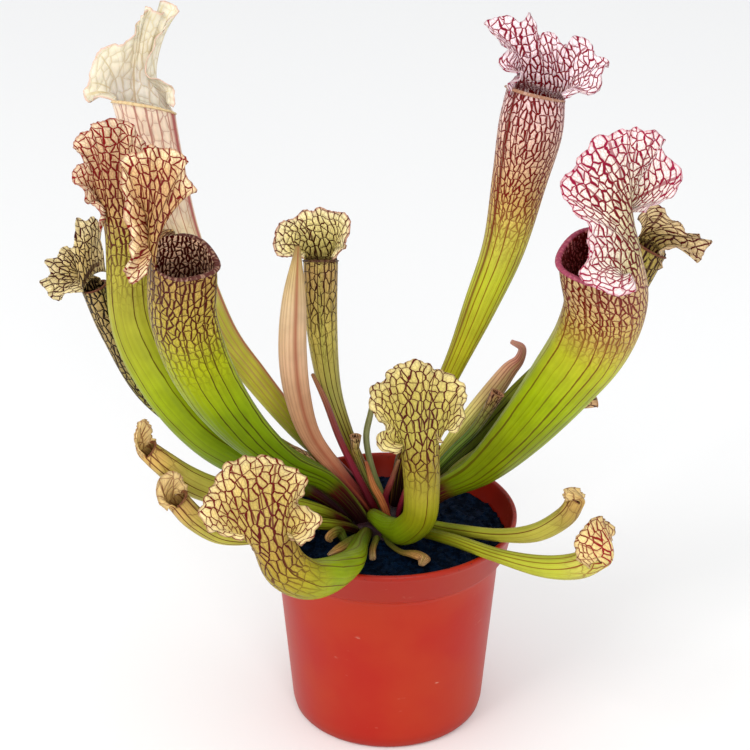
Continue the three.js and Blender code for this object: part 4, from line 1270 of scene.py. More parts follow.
LEAVES: tuple[Leaf, ...] = (
    Leaf(
        "pitcher_left_front", "green_leaf", LIME_MAROON, Size.LARGE, (0.9, -0.4, 0.2), back_angle=62,
        route=((-11, 7, 83), (-13, 6, 95), (-29, 2, 117), (-50, -4, 132), (-68, -12, 155),
               (-82, -22, 185), (-88, -32, 215), (-87, -46, 247)),
        radii=(2, 2.3, 4.3, 7, 10.5, 13.2, 13.8, 12.2),
        margin=((-99, -56, 244), (-102, -57, 242), (-106, -58, 240), (-107, -58, 244), (-105, -57, 249),
                (-106, -56, 255), (-105, -55, 260), (-108, -53, 267), (-107, -52, 274), (-109, -50, 280),
                (-108, -48, 285), (-109, -47, 289), (-105, -46, 292), (-101, -45, 292), (-97, -44, 295),
                (-93, -43, 293), (-89, -43, 293), (-85, -42, 291), (-82, -42, 287), (-84, -40, 281),
                (-81, -40, 277), (-80, -39, 273), (-85, -38, 270), (-89, -38, 266), (-92, -38, 261)),
        heart=(-97, -50, 273), keel=3, slant=1.5, spout=3.5, waves=4,
    ),
    Leaf(
        "pitcher_left_middle", "green_leaf", LIME_PINK, Size.LARGE, (0.8, 0.5, -0.2), back_angle=80,
        route=((-15, 11, 83), (-18, 10, 93), (-34, 11, 107), (-60, 10, 119), (-82, 12, 134),
               (-101, 16, 157), (-115, 22, 187), (-117, 26, 228)),
        radii=(2, 2.2, 4, 7, 9.5, 10.8, 11, 9.8),
        margin=((-128, 18, 233), (-129, 18, 239), (-128, 18, 243), (-131, 18, 246), (-134, 18, 247),
                (-134, 19, 252), (-135, 19, 254), (-139, 20, 256), (-139, 20, 261), (-136, 20, 264),
                (-134, 21, 265), (-135, 21, 269), (-138, 22, 271), (-138, 22, 274), (-135, 22, 278),
                (-131, 23, 279), (-130, 23, 282), (-126, 24, 283), (-121, 25, 284), (-116, 27, 282),
                (-112, 28, 280), (-111, 30, 275), (-108, 31, 271), (-106, 32, 265), (-107, 34, 247),
                (-113, 34, 232)),
        heart=(-121, 22, 261), keel=2, waves=5,
    ),
    Leaf(
        "pitcher_left_back", "olive_leaf", BROWN_BLACK, Size.MIDDLE, (0.6, -0.6, 0.5), back_angle=85,
        route=((-15, 16, 83), (-17, 16, 92), (-24, 20, 99), (-42, 30, 107), (-80, 38, 116),
               (-113, 42, 140), (-129, 42, 173), (-136, 40, 198)),
        radii=(1.8, 1.9, 2.2, 2.6, 3, 3.6, 4.6, 5.6),
        margin=((-140, 36, 197), (-144, 35, 197), (-149, 34, 197), (-153, 34, 194), (-156, 34, 196),
                (-157, 34, 199), (-160, 34, 203), (-156, 35, 205), (-155, 36, 208), (-157, 37, 212),
                (-152, 39, 213), (-151, 41, 216), (-148, 43, 217), (-145, 44, 216), (-144, 46, 222),
                (-143, 48, 229), (-139, 49, 227), (-136, 50, 229), (-133, 50, 225), (-132, 50, 215),
                (-131, 48, 202)),
        heart=(-142, 42, 209), waves=4,
    ),
    Leaf(
        "pitcher_left_tall", "pale_leaf", CREAM_PEACH, Size.LARGE, (0.1, -0.9, 0.4), back_angle=85,
        route=((-8, 24, 83), (-9, 25, 92), (-14, 28, 99), (-25, 34, 108), (-43, 42, 124), (-63, 50, 147),
               (-80, 54, 171), (-97, 58, 214), (-106, 60, 248), (-111, 60, 277)),
        radii=(1.8, 2.2, 2.6, 3, 4.6, 5.8, 7, 9.5, 11.8, 13),
        margin=((-97, 56, 279), (-97, 56, 284), (-98, 57, 288), (-102, 58, 291), (-106, 59, 293),
                (-109, 59, 296), (-108, 61, 300), (-106, 62, 305), (-103, 65, 310), (-100, 67, 315),
                (-95, 69, 321), (-97, 70, 323), (-101, 71, 324), (-101, 70, 319), (-105, 70, 320),
                (-108, 70, 322), (-110, 70, 321), (-110, 69, 317), (-113, 67, 315), (-116, 64, 310),
                (-120, 62, 307), (-124, 61, 307), (-129, 60, 305), (-132, 59, 301), (-134, 57, 295),
                (-135, 55, 290), (-137, 54, 286), (-135, 53, 282), (-131, 53, 284), (-125, 54, 283),
                (-124, 54, 281)),
        heart=(-117, 62, 292), seam_at=-116, seam_wide=2.0, slant=-5, lean=6, waves=4,
    ),
    Leaf(
        "pitcher_centre", "olive_leaf", OLIVE_BROWN, Size.MIDDLE, (0, -0.9, 0.4), back_angle=80,
        route=((-1, 24, 83), (-2, 25, 94), (-13, 31, 110), (-22, 37, 130), (-28, 42, 149),
               (-31, 44, 179), (-31, 44, 209)),
        radii=(1.6, 2, 2.6, 3.6, 5.2, 7, 7.6),
        margin=((-25, 40, 211), (-22, 38, 216), (-19, 36, 219), (-18, 36, 224), (-17, 38, 229),
                (-19, 40, 234), (-23, 42, 234), (-27, 44, 234), (-31, 46, 235), (-34, 46, 233),
                (-38, 45, 234), (-42, 44, 231), (-46, 41, 230), (-49, 39, 230), (-51, 37, 227),
                (-52, 35, 222), (-51, 34, 217), (-47, 34, 215), (-42, 36, 215), (-39, 38, 213)),
        heart=(-33, 42, 222), slant=-3, waves=4,
    ),
    Leaf(
        "pitcher_right_tall", "rose_leaf", ROSE_CRIMSON, Size.LARGE, (-0.3, -0.9, 0.4), back_angle=80,
        route=((4, 22, 83), (4, 23, 94), (8, 26, 118), (20, 30, 138), (32, 34, 163), (43, 36, 191),
               (53, 38, 219), (59, 38, 251), (63, 36, 275), (65, 34, 292)),
        radii=(1.8, 2.3, 3, 3.8, 4.8, 7.4, 9.4, 12, 14, 12.8),
        margin=((77, 27, 292), (83, 26, 296), (92, 26, 297), (93, 28, 303), (96, 29, 305), (95, 31, 309),
                (90, 33, 310), (88, 36, 315), (83, 37, 317), (79, 39, 313), (76, 40, 313), (73, 42, 317),
                (69, 42, 318), (66, 44, 316), (64, 45, 321), (62, 45, 326), (58, 43, 322), (52, 42, 325),
                (47, 40, 325), (42, 38, 323), (45, 36, 319), (47, 34, 315), (52, 33, 313), (49, 30, 309),
                (52, 28, 304), (57, 27, 304), (51, 25, 300), (52, 24, 294)),
        heart=(67, 38, 304), seam_at=152, slant=-4.5, waves=5,
    ),
    Leaf(
        "pitcher_right_front", "green_leaf", ROSE_MAGENTA, Size.LARGE, (-0.9, -0.4, 0.2), back_angle=80,
        route=((9, 6, 83), (12, 6, 94), (24, 8, 108), (44, 6, 122), (61, 2, 143), (78, -4, 170),
               (90, -10, 193), (94, -20, 217), (90, -36, 243)),
        radii=(2, 2.4, 4.6, 8, 11.6, 15, 17, 17.4, 15.5),
        margin=((102, -52, 235), (98, -54, 234), (92, -56, 234), (86, -57, 237), (81, -58, 240),
                (79, -58, 244), (80, -57, 249), (81, -56, 254), (79, -55, 259), (81, -54, 264),
                (77, -53, 267), (74, -52, 271), (71, -52, 275), (69, -50, 279), (71, -49, 284),
                (75, -48, 287), (76, -47, 291), (80, -46, 294), (83, -45, 299), (89, -44, 299),
                (94, -43, 301), (97, -42, 300), (99, -42, 302), (102, -41, 300), (107, -40, 300),
                (111, -38, 296), (113, -38, 294), (111, -38, 291), (114, -37, 287), (118, -36, 283),
                (120, -36, 277), (118, -35, 271), (116, -34, 266), (111, -33, 264), (107, -32, 261)),
        heart=(94, -46, 270), keel=3, slant=-3, spout=3.0, waves=5,
    ),
    Leaf(
        "pitcher_right_back", "olive_leaf", BROWN_GREEN, Size.MIDDLE, (0.2, -0.7, 0.7), back_angle=85,
        route=((10, 15, 83), (12, 16, 93), (25, 24, 108), (43, 30, 124), (62, 34, 144), (85, 38, 166),
               (108, 42, 190), (121, 44, 215)),
        radii=(2, 2.3, 3.6, 5, 6, 6.6, 7, 7.4),
        margin=((120, 38, 206), (124, 38, 209), (125, 38, 214), (129, 39, 217), (136, 40, 217),
                (141, 41, 214), (144, 42, 210), (146, 43, 215), (149, 44, 219), (145, 45, 219),
                (143, 46, 222), (138, 46, 221), (136, 47, 225), (134, 48, 227), (130, 49, 228),
                (127, 50, 233), (121, 52, 234), (115, 52, 227)),
        heart=(127, 46, 220), waves=4,
    ),
    Leaf(
        "pitcher_front", "yellow_leaf", CREAM_YELLOW, Size.LARGE, (0, 0.9, -0.4), back_angle=85,
        foot_front=(0.3, 0.2, 1),
        route=((-6, 5, 83), (-6, 5, 95), (-6, 0, 99), (0, -9, 99), (7, -17, 101), (14, -24, 112),
               (15, -29, 130), (14, -33, 150)),
        radii=(2, 2.4, 3, 4.2, 6.2, 7.2, 7.6, 8),
        margin=((5, -40, 153), (0, -39, 154), (-5, -38, 157), (-5, -37, 161), (-3, -35, 164),
                (-5, -34, 167), (-7, -32, 172), (-8, -30, 177), (-7, -29, 181), (-3, -28, 182),
                (0, -28, 187), (4, -28, 189), (8, -28, 191), (13, -28, 192), (17, -28, 190),
                (20, -28, 188), (24, -28, 187), (28, -28, 184), (32, -29, 180), (34, -30, 176),
                (34, -31, 170), (33, -33, 166), (30, -34, 162), (25, -35, 163), (22, -36, 165),
                (22, -39, 162), (24, -41, 158)),
        heart=(13, -44, 178), waves=5,
    ),
    Leaf(
        "pitcher_front_left", "yellow_leaf", CREAM_MAROON, Size.LARGE, (0, 0.9, -0.3), back_angle=85,
        foot_front=(0.1, 0.1, 1),
        route=((-9, -3, 83), (-10, -5, 92), (-11, -14, 96.5), (-13, -30, 101), (-16, -58, 109),
               (-25, -78, 114), (-34, -90, 119), (-43, -94, 127), (-48, -96, 140)),
        radii=(1.9, 2.2, 2.8, 3.6, 5.2, 7.2, 8.3, 9, 8.4),
        margin=((-58, -100, 151), (-61, -101, 148), (-64, -102, 146), (-69, -102, 146), (-73, -102, 147),
                (-75, -101, 151), (-77, -98, 155), (-76, -96, 159), (-75, -93, 162), (-73, -92, 165),
                (-70, -90, 169), (-67, -88, 172), (-62, -87, 174), (-58, -86, 175), (-53, -86, 175),
                (-48, -86, 175), (-43, -86, 172), (-38, -86, 168), (-35, -88, 165), (-35, -90, 160),
                (-36, -92, 157), (-33, -94, 155), (-29, -96, 152), (-30, -98, 148), (-32, -101, 144),
                (-36, -102, 141), (-40, -102, 144)),
        heart=(-51, -106, 165), waves=5,
    ),
    Leaf(
        "pitcher_low_left", "yellow_leaf", BEIGE_STRIPED, Size.SMALL, (0.6, -0.1, 0.8), back_angle=80,
        route=((-17, 4, 83), (-18.5, 3.5, 92), (-24, -1, 99), (-35, -9, 108), (-57, -22, 120),
               (-77, -34, 131), (-89, -40, 140), (-98, -44, 150), (-104, -46, 157)),
        radii=(1.5, 1.7, 2.2, 3, 4.6, 5.6, 5.8, 5, 4.2),
        margin=((-100, -42, 157), (-102, -40, 161), (-105, -42, 170), (-108, -46, 169),
                (-109, -50, 161), (-106, -50, 155)),
        heart=(-105, -46, 164), waves=2,
    ),
    Leaf(
        "pitcher_low_left_under", "dry_leaf", BEIGE_STRIPED, Size.SMALL, (0.7, 0, 0.7), back_angle=80,
        route=((-14, -1, 83), (-17, -3, 94), (-38, -21, 107), (-57, -38, 111), (-73, -50, 118),
               (-84, -56, 129), (-91, -58, 139)),
        radii=(1.4, 1.8, 2.6, 3.4, 4.2, 4.8, 4.6),
        margin=((-86, -54, 139), (-88, -52, 145), (-93, -52, 150), (-99, -56, 148), (-99, -62, 141),
                (-95, -64, 137)),
        heart=(-93, -58, 144), waves=2,
    ),
    Leaf(
        "pitcher_low_right", "yellow_leaf", BEIGE_STRIPED, Size.SMALL, (-0.7, -0.1, 0.7), back_angle=80,
        route=((8, 1, 83), (10, 0, 92), (17, -4, 97), (30, -12, 99), (50, -29, 105.5), (66, -38, 112),
               (78, -40, 121), (83, -39, 129)),
        radii=(1.4, 1.6, 1.8, 2.2, 2.6, 3.8, 4.2, 3.7),
        margin=((77, -43, 130), (77, -41, 135), (83, -35, 133), (87, -33, 127), (86, -36, 123)),
        heart=(81, -39, 132), waves=2,
    ),
    Leaf(
        "pitcher_low_right_over_rim", "yellow_leaf", CREAM_STRIPED, Size.SMALL, (-0.4, -0.1, 0.9),
        back_angle=85,
        route=((6, -3, 83), (8, -4, 92), (15, -12, 97.5), (29, -27, 102), (49, -52, 108), (67, -66, 111),
               (81, -74, 116), (90, -76, 123)),
        radii=(1.4, 1.6, 2, 2.4, 2.8, 4.4, 5.4, 5.8),
        margin=((85, -82, 119), (79, -84, 126), (80, -80, 135), (88, -72, 139), (95, -68, 133),
                (95, -68, 123), (91, -72, 117)),
        heart=(86, -78, 133), waves=3,
    ),
    Leaf(
        "leaf_centre_unopened", "salmon_leaf", SALMON_STRIPED, Size.BLADE, (0.3, -0.9, 0.2),
        route=((-8, 15, 83), (-9, 15, 94), (-24, 18, 114), (-36, 22, 130), (-42, 26, 149),
               (-44, 28, 171), (-43, 30, 196), (-41, 32, 221)),
        radii=(1.8, 2.2, 3.2, 4.4, 5.8, 6.3, 5.2, 0.7), flatness=0.6, keel=1,
    ),
    Leaf(
        "leaf_centre_red", "red_leaf", RED_STALK, Size.BLADE, (1, -0.2, 0.1),
        route=((-4, 11, 83), (-5, 11, 94), (-17, 15, 119), (-23, 20, 131), (-29, 24, 147), (-35, 28, 159)),
        radii=(1.5, 1.8, 1.8, 1.8, 1.6, 0.6), flatness=0.6,
    ),
    Leaf(
        "leaf_right_curled", "yellow_leaf", GREEN_BLADE, Size.BLADE, (0.3, -0.9, 0.4),
        route=((9, 20, 83), (10, 21, 92), (14, 25, 101), (26, 33, 115), (37, 36, 129), (49, 40, 143),
               (57, 42, 154), (62, 42, 160), (63, 40, 167), (58, 38, 171)),
        radii=(1.4, 1.6, 2, 2.4, 4, 4.6, 3.6, 2.2, 1.5, 0.7), flatness=0.7,
    ),
    Leaf(
        "pitcher_right_small", "bronze_leaf", GREEN_STALK, Size.TUBE, (0.2, -0.7, 0.7),
        route=((5, 14, 83), (6, 15, 94), (28, 18, 121), (39, 22, 131), (46, 24, 141), (51, 24, 151)),
        radii=(1.2, 1.4, 1.6, 1.8, 2.2, 2.8),
    ),
    Leaf(
        "pitcher_right_hidden", "bronze_leaf", BRONZE_STALK, Size.TUBE, (-0.6, -0.3, 0.7),
        route=((14, 10, 83), (16, 11, 93), (30, 17.3, 113), (46, 20, 125), (62, 20, 137), (79, 21, 145),
               (97, 24, 147)),
        radii=(1.2, 1.3, 1.5, 1.6, 1.7, 1.9, 2.4),
    ),
    Leaf(
        "pitcher_left_hidden", "bronze_leaf", BRONZE_STALK, Size.TUBE, (0.4, -0.6, 0.6),
        route=((-12, 21, 83), (-14, 22, 94), (-29, 25, 112), (-46, 27, 121), (-59, 28, 130),
               (-65, 28, 138)),
        radii=(1.1, 1.2, 1.4, 1.5, 1.7, 2.6),
    ),
    Leaf(
        "pitcher_centre_small", "bronze_leaf", BRONZE_STALK, Size.TUBE, (0.2, -0.6, 0.8),
        route=((-3, 18, 83), (-4, 18, 94), (-12, 22, 112), (-15, 21, 122), (-15, 21, 130)),
        radii=(1, 1.1, 1.2, 1.4, 2.2),
    ),
    Leaf(
        "leaf_centre_grey_green", "olive_leaf", GREY_BLADE, Size.BLADE, (-0.8, -0.3, 0.2),
        route=((1, 17, 83), (0, 17, 94), (-7, 22, 112), (-10, 25, 127), (-8, 27, 139), (-5, 28, 153)),
        radii=(1.2, 1.3, 1.5, 1.6, 1.4, 0.6), flatness=0.6,
    ),
    Leaf(
        "leaf_left_bronze", "bronze_leaf", BRONZE_STALK, Size.BLADE, (0.2, -0.3, 0.9),
        route=((-11, 12, 83), (-13, 12, 94), (-23, 12, 108), (-33, 15, 116), (-43, 20, 123), (-55, 24, 124)),
        radii=(1.3, 1.4, 1.8, 2.4, 2.2, 0.6), flatness=0.4,
    ),
    Leaf(
        "leaf_left_withered", "dry_leaf", DRY_BLADE, Size.BLADE, (0.2, -0.3, 0.9),
        route=((-20, 14, 83), (-22, 15, 92), (-27, 17, 97), (-34, 19, 102), (-42, 20, 106)),
        radii=(0.9, 1, 1.1, 1.1, 0.6), flatness=0.6,
    ),
    Leaf(
        "leaf_front_orange", "salmon_leaf", ORANGE_STALK, Size.BLADE, (0.8, 0.2, 0.2),
        route=((0, 7, 83), (0, 7, 94), (-3, 5, 105), (-7, 4, 114), (-10, 5, 125)),
        radii=(1.5, 1.9, 2.1, 1.8, 0.6), flatness=0.6,
    ),
    Leaf(
        "leaf_front_red", "red_leaf", RED_STALK, Size.BLADE, (-0.8, 0.1, 0.3),
        route=((0, 12, 83), (0, 12, 94), (-1, 13, 102), (2, 12, 112), (5, 12, 122)),
        radii=(1.3, 1.6, 1.8, 1.5, 0.6), flatness=0.6,
    ),
    Leaf(
        "leaf_front_red_short", "red_leaf", RED_STALK, Size.BLADE, (-0.8, 0.1, 0.3),
        route=((4, 10, 83), (5, 10, 94), (7, 11, 102), (10, 14, 110), (13, 17, 119)),
        radii=(1.2, 1.4, 1.5, 1.3, 0.6), flatness=0.6,
    ),
    Leaf(
        "leaf_front_drying", "dry_leaf", DRY_BLADE, Size.BLADE, (0.1, 0.2, 1),
        route=((-1, -4, 83), (-1, -7, 92.5), (1, -16, 93.5), (6, -24, 94), (12, -28, 95), (16, -31, 94.5),
               (15, -35, 93.5)),
        radii=(1.1, 1.2, 1.2, 1.6, 3.3, 2.9, 0.9), flatness=0.35,
    ),
    Leaf(
        "leaf_front_stub", "dry_leaf", DRY_BLADE, Size.BLADE, (0.1, 0.2, 1),
        route=((-5, -5, 83), (-5, -8, 92), (-6, -15, 93.5), (-7, -21, 93.4), (-7, -28, 93)),
        radii=(1, 1, 1.1, 1.1, 1.2), flatness=0.7,
    ),
    Leaf(
        "litter_leaf", "dry_leaf", DRY_BLADE, Size.BLADE, (0.1, 0.2, 1),
        route=((-11, -2, 91), (-14, -8, 92.8), (-18, -15, 93.6), (-23, -21, 93.4), (-27, -24, 92.4)),
        radii=(0.6, 1.8, 2.6, 2.2, 0.6), flatness=0.4, loose=True,
    ),
    Leaf(
        "litter_curl", "dry_leaf", DRY_BLADE, Size.BLADE, (0.3, -1, 0.2),
        route=((-18, -10, 91.5), (-20, -11, 93), (-22, -10, 96), (-24, -13, 98), (-27, -16, 97),
               (-26, -16, 95)),
        radii=(0.5, 1.2, 2, 2.1, 1.6, 0.5), flatness=0.35, loose=True,
    ),
)


class Recipe(Graph):
    """A Geometry Nodes tree with named inputs, run once on an object and made a plain mesh."""

    def __init__(self, name: str) -> None:
        """Makes an empty tree with geometry in and out."""
        super().__init__(bpy.data.node_groups.new(name, "GeometryNodeTree"))
        for way in ("INPUT", "OUTPUT"):
            self.tree.interface.new_socket("Geometry", in_out=way, socket_type="NodeSocketGeometry")
        self.values: dict[str, object] = {}
        self.start = self.tree.nodes.new("NodeGroupInput")
        self.end = self.tree.nodes.new("NodeGroupOutput")

    def input(self, name: str, kind: str, value: object) -> Socket:
        """Adds a named input of a kind, which the modifier gives a value, and returns its socket."""
        self.tree.interface.new_socket(name, in_out="INPUT", socket_type="NodeSocket" + kind)
        self.values[name] = value
        return self.start.outputs[name]

    def finish(self, geometry: Socket, material: bpy.types.Material) -> None:
        """Ends the tree with Realize Instances and Set Material."""
        real = self.add("GeometryNodeRealizeInstances", Geometry=geometry)
        dress = self.add(
            "GeometryNodeSetMaterial", Geometry=real.outputs[0],
            Material=self.input("Material", "Material", material),
        )
        self.feed(self.end.inputs[0], dress.outputs[0])

    def run(self, base: bpy.types.Object, name: str) -> bpy.types.Object:
        """Runs the tree on an object.

        Args:
            base: the object that carries the tree for a moment.
            name: the finished piece's name.
        Returns:
            A plain mesh object at the origin. The base is deleted.
        """
        modifier = base.modifiers.new(name, "NODES")
        modifier.node_group = self.tree
        for item in self.tree.interface.items_tree:
            if item.in_out == "INPUT" and item.name in self.values:
                modifier[item.identifier] = self.values[item.name]
        mesh = evaluated_mesh(base)
        mesh.name = name
        base.modifiers.clear()
        bpy.data.objects.remove(base)
        return link_object(name, mesh)


@dataclass(frozen=True)
class PotPlastic:
    """Thin red-orange plastic, a little scuffed, with soil at the lip and painted shade on collar and foot.
    """

    colour: str = "a41a06"
    worn: str = "a82a0a"
    # Painted shade: the darker red laid over the collar band and near the foot.
    painted_shade: str = "881a06"
    scuff: str = "d8bca8"
    soil: str = "241a14"
    roughness: float = 0.4
    gloss: float = 0.22

    def dress(self, pot: "Pot", workshop: Workshop) -> bpy.types.Material:
        """Builds the pot's material from places on it.

        Args:
            pot: the pot, for its heights.
            workshop: the shared shader groups.
        Returns:
            The finished material.
        """
        surface = Surface("pot_plastic")
        graph = surface.graph
        place = graph.object_place()
        height = graph.calc("DIVIDE", graph.split(place)[2], MM)
        broad = workshop.mottle.place(graph, Place=place, Patch=38.0, Grain=0.35)
        small = workshop.mottle.place(graph, Place=place, Patch=5.0, Grain=1.4)
        marks = graph.noise(graph.vector("MULTIPLY", place, (60.0, 60.0, 320.0)), 1.0, 6.0)
        collar_foot = pot.height - pot.collar
        # Masks for painted shade: the collar band, and the lowest 9 mm fading upward, both get the darker
        # red.
        collar = graph.step(height, collar_foot - 2.0, collar_foot + 1.0)
        foot = graph.step(height, 9.0, 1.0)
        worn = graph.times(graph.step(marks, 0.66, 0.74), graph.step(small["Patches"], 0.5, 0.7))
        near_lip = graph.step(height, pot.height - 5.0, pot.height - 0.5)
        dirt = graph.times(graph.step(small["Grains"], 0.62, 0.7), near_lip, 0.7)
        colour = graph.coat(
            paint(self.colour), (graph.step(broad["Patches"], 0.35, 0.7), 1.0, self.worn),
            (collar, 0.45, self.painted_shade), (foot, 0.4, self.painted_shade), (worn, 0.5, self.scuff),
            (dirt, 1.0, self.soil),
        )
        rough = graph.plus(graph.times(broad["Patches"], 0.2), self.roughness - 0.1)
        surface.bump(graph.plus(graph.times(broad["Grains"], 0.3), small["Patches"]), 0.12, 0.35)
        surface.feed(
            Base_Color=colour, Roughness=graph.plus(rough, graph.times(worn, 0.2), graph.times(dirt, 0.3)),
            Specular_IOR_Level=self.gloss, Subsurface_Weight=0.05,
            Subsurface_Radius=(1.0, 0.3, 0.15), Subsurface_Scale=1.5 * MM,
        )
        return surface.material


@dataclass(frozen=True)
class Pot:
    """The nursery pot, a turned shell with a collar, a rounded lip and a ring of drain holes."""

    height: float = 102.0
    lip_radius: float = 60.0
    foot_radius: float = 45.5
    body_top: float = 52.0
    wall: float = 1.7
    floor: float = 2.0
    collar: float = 16.0
    collar_foot: float = 56.0
    hole_radius: float = 3.5
    hole_count: int = 8
    hole_ring: float = 31.0
    sides: int = 168
    finish: PotPlastic = PotPlastic()

    def profile(self) -> list[tuple[float, float]]:
        """Gives the shell's cross section as radius and height, outside first."""
        foot, body, collar, lip = self.foot_radius, self.body_top, self.collar_foot, self.lip_radius
        top, step, wall = self.height, self.height - self.collar, self.wall
        return [
            (0.0, 0.6), (30.0, 0.6), (foot - 6.2, 0.6), (foot - 5.4, 0.0), (foot - 3.4, 0.0),
            (foot - 2.0, 0.5), (foot - 0.9, 1.9), (foot - 0.1, 5.2), (foot + 0.35, 10.0),
            (body - 0.9, step - 14.0), (body - 0.2, step - 4.6), (body + 0.5, step - 2.6),
            (body + 2.2, step - 0.9), (collar - 0.6, step - 0.2), (collar + 0.1, step + 0.8),
            (lip - 1.5, top - 4.4), (lip - 0.5, top - 3.0), (lip - 0.05, top - 1.9),
            (lip - 0.05, top - 0.8), (lip - 0.5, top - 0.1), (lip - 1.2, top), (lip - 1.8, top - 0.3),
            (lip - 2.1, top - 1.0), (lip - 2.6, top - 4.0), (collar - wall + 0.2, step + wall + 1.0),
            (collar - wall - 0.8, step + wall - 0.4), (body - wall, step), (foot - wall, 6.0),
            (foot - 5.0, self.floor), (0.0, self.floor),
        ]

    def turned(self, material: bpy.types.Material) -> bpy.types.Object:
        """Turns the cross section about the pot's axis with Geometry Nodes."""
        mesh = bpy.data.meshes.new("pot_section")
        points = [(radius * MM, -height * MM, 0.0) for radius, height in self.profile()]
        mesh.from_pydata(points, [(k, k + 1) for k in range(len(points) - 1)], [])
        recipe = Recipe("Turned shell")
        sides = recipe.input("Sides", "Int", self.sides)
        ring = recipe.input("Ring radius", "Float", 1e-5)
        section = recipe.add("GeometryNodeMeshToCurve", Mesh=recipe.start.outputs[0])
        circle = recipe.add("GeometryNodeCurvePrimitiveCircle", Resolution=sides, Radius=ring)
        sweep = recipe.add(
            "GeometryNodeCurveToMesh", Curve=circle.outputs[0], Profile_Curve=section.outputs[0]
        )
        merged = recipe.add("GeometryNodeMergeByDistance", Geometry=sweep.outputs[0], Distance=2e-5)
        recipe.finish(merged.outputs[0], material)
        return recipe.run(link_object("pot_section", mesh), "pot_shell")

    def drill(self, shell: bpy.types.Object, angle: float) -> bpy.types.Object:
        """Cuts a drain hole in the floor with a modifier.

        Args:
            shell: the pot's shell.
            angle: where the hole is on its ring.
        Returns:
            The drill, which the modifier needs until the mesh is made.
        """
        middle = Vector((self.hole_ring * math.cos(angle), self.hole_ring * math.sin(angle), 1.3))
        radius = self.hole_radius * MM
        cone = bmesh.new()
        bmesh.ops.create_cone(
            cone, cap_ends=True, segments=24, radius1=radius, radius2=radius, depth=6.0 * MM
        )
        bmesh.ops.translate(cone, verts=cone.verts, vec=middle * MM)
        mesh = bpy.data.meshes.new("drill")
        cone.to_mesh(mesh)
        cone.free()
        cut = shell.modifiers.new("drill", "BOOLEAN")
        cut.operation = "DIFFERENCE"
        cut.solver = "EXACT"
        cut.object = link_object("drill", mesh)
        return cut.object

    def build(self, workshop: Workshop) -> bpy.types.Object:
        """Builds the pot, drills its drain holes and dresses it.

        Args:
            workshop: the shared shader groups.
        Returns:
            The pot's object, which replaces the CAD pot.
        """
        material = self.finish.dress(self, workshop)
        shell = self.turned(material)
        outward = bmesh.new()
        outward.from_mesh(shell.data)
        bmesh.ops.recalc_face_normals(outward, faces=outward.faces)
        outward.to_mesh(shell.data)
        outward.free()
        angles = [(k + 0.5) / self.hole_count * WHOLE_TURN for k in range(self.hole_count)]
        drills = [self.drill(shell, angle) for angle in angles]
        mesh = evaluated_mesh(shell)
        shell.modifiers.clear()
        shell.data = mesh
        for drill in drills:
            bpy.data.objects.remove(drill)
        mesh.materials.clear()
        mesh.materials.append(material)
        mesh.polygons.foreach_set("use_smooth", [True] * len(mesh.polygons))
        mesh.set_sharp_from_angle(angle=math.radians(50))
        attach(shell, BODY)
        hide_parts("pot")
        return shell


@dataclass(frozen=True)
class Peat:
    """Damp dark peat, nearly black, with a cold sheen where it is wet."""

    dark: str = "000a1a"
    light: str = "041c36"
    brown: str = "142034"
    roughness: float = 0.8
    gloss: float = 0.06

    def dress(self, workshop: Workshop) -> bpy.types.Material:
        """Builds the peat's material and returns it."""
        surface = Surface("damp_peat")
        graph = surface.graph
        mottle = workshop.mottle.place(graph, Place=graph.object_place(), Patch=3.0, Grain=0.5)
        patches, grains = mottle["Patches"], mottle["Grains"]
        colour = graph.coat(
            paint(self.dark), (graph.step(patches, 0.35, 0.7), 1.0, self.light),
            (graph.step(grains, 0.6, 0.75), 1.0, self.brown),
        )
        surface.bump(graph.plus(grains, patches), 0.6, 0.9)
        surface.feed(
            Base_Color=colour,
            Roughness=graph.step(patches, 0.35, 0.65, self.roughness, self.roughness - 0.3),
            Specular_IOR_Level=self.gloss,
        )
        return surface.material


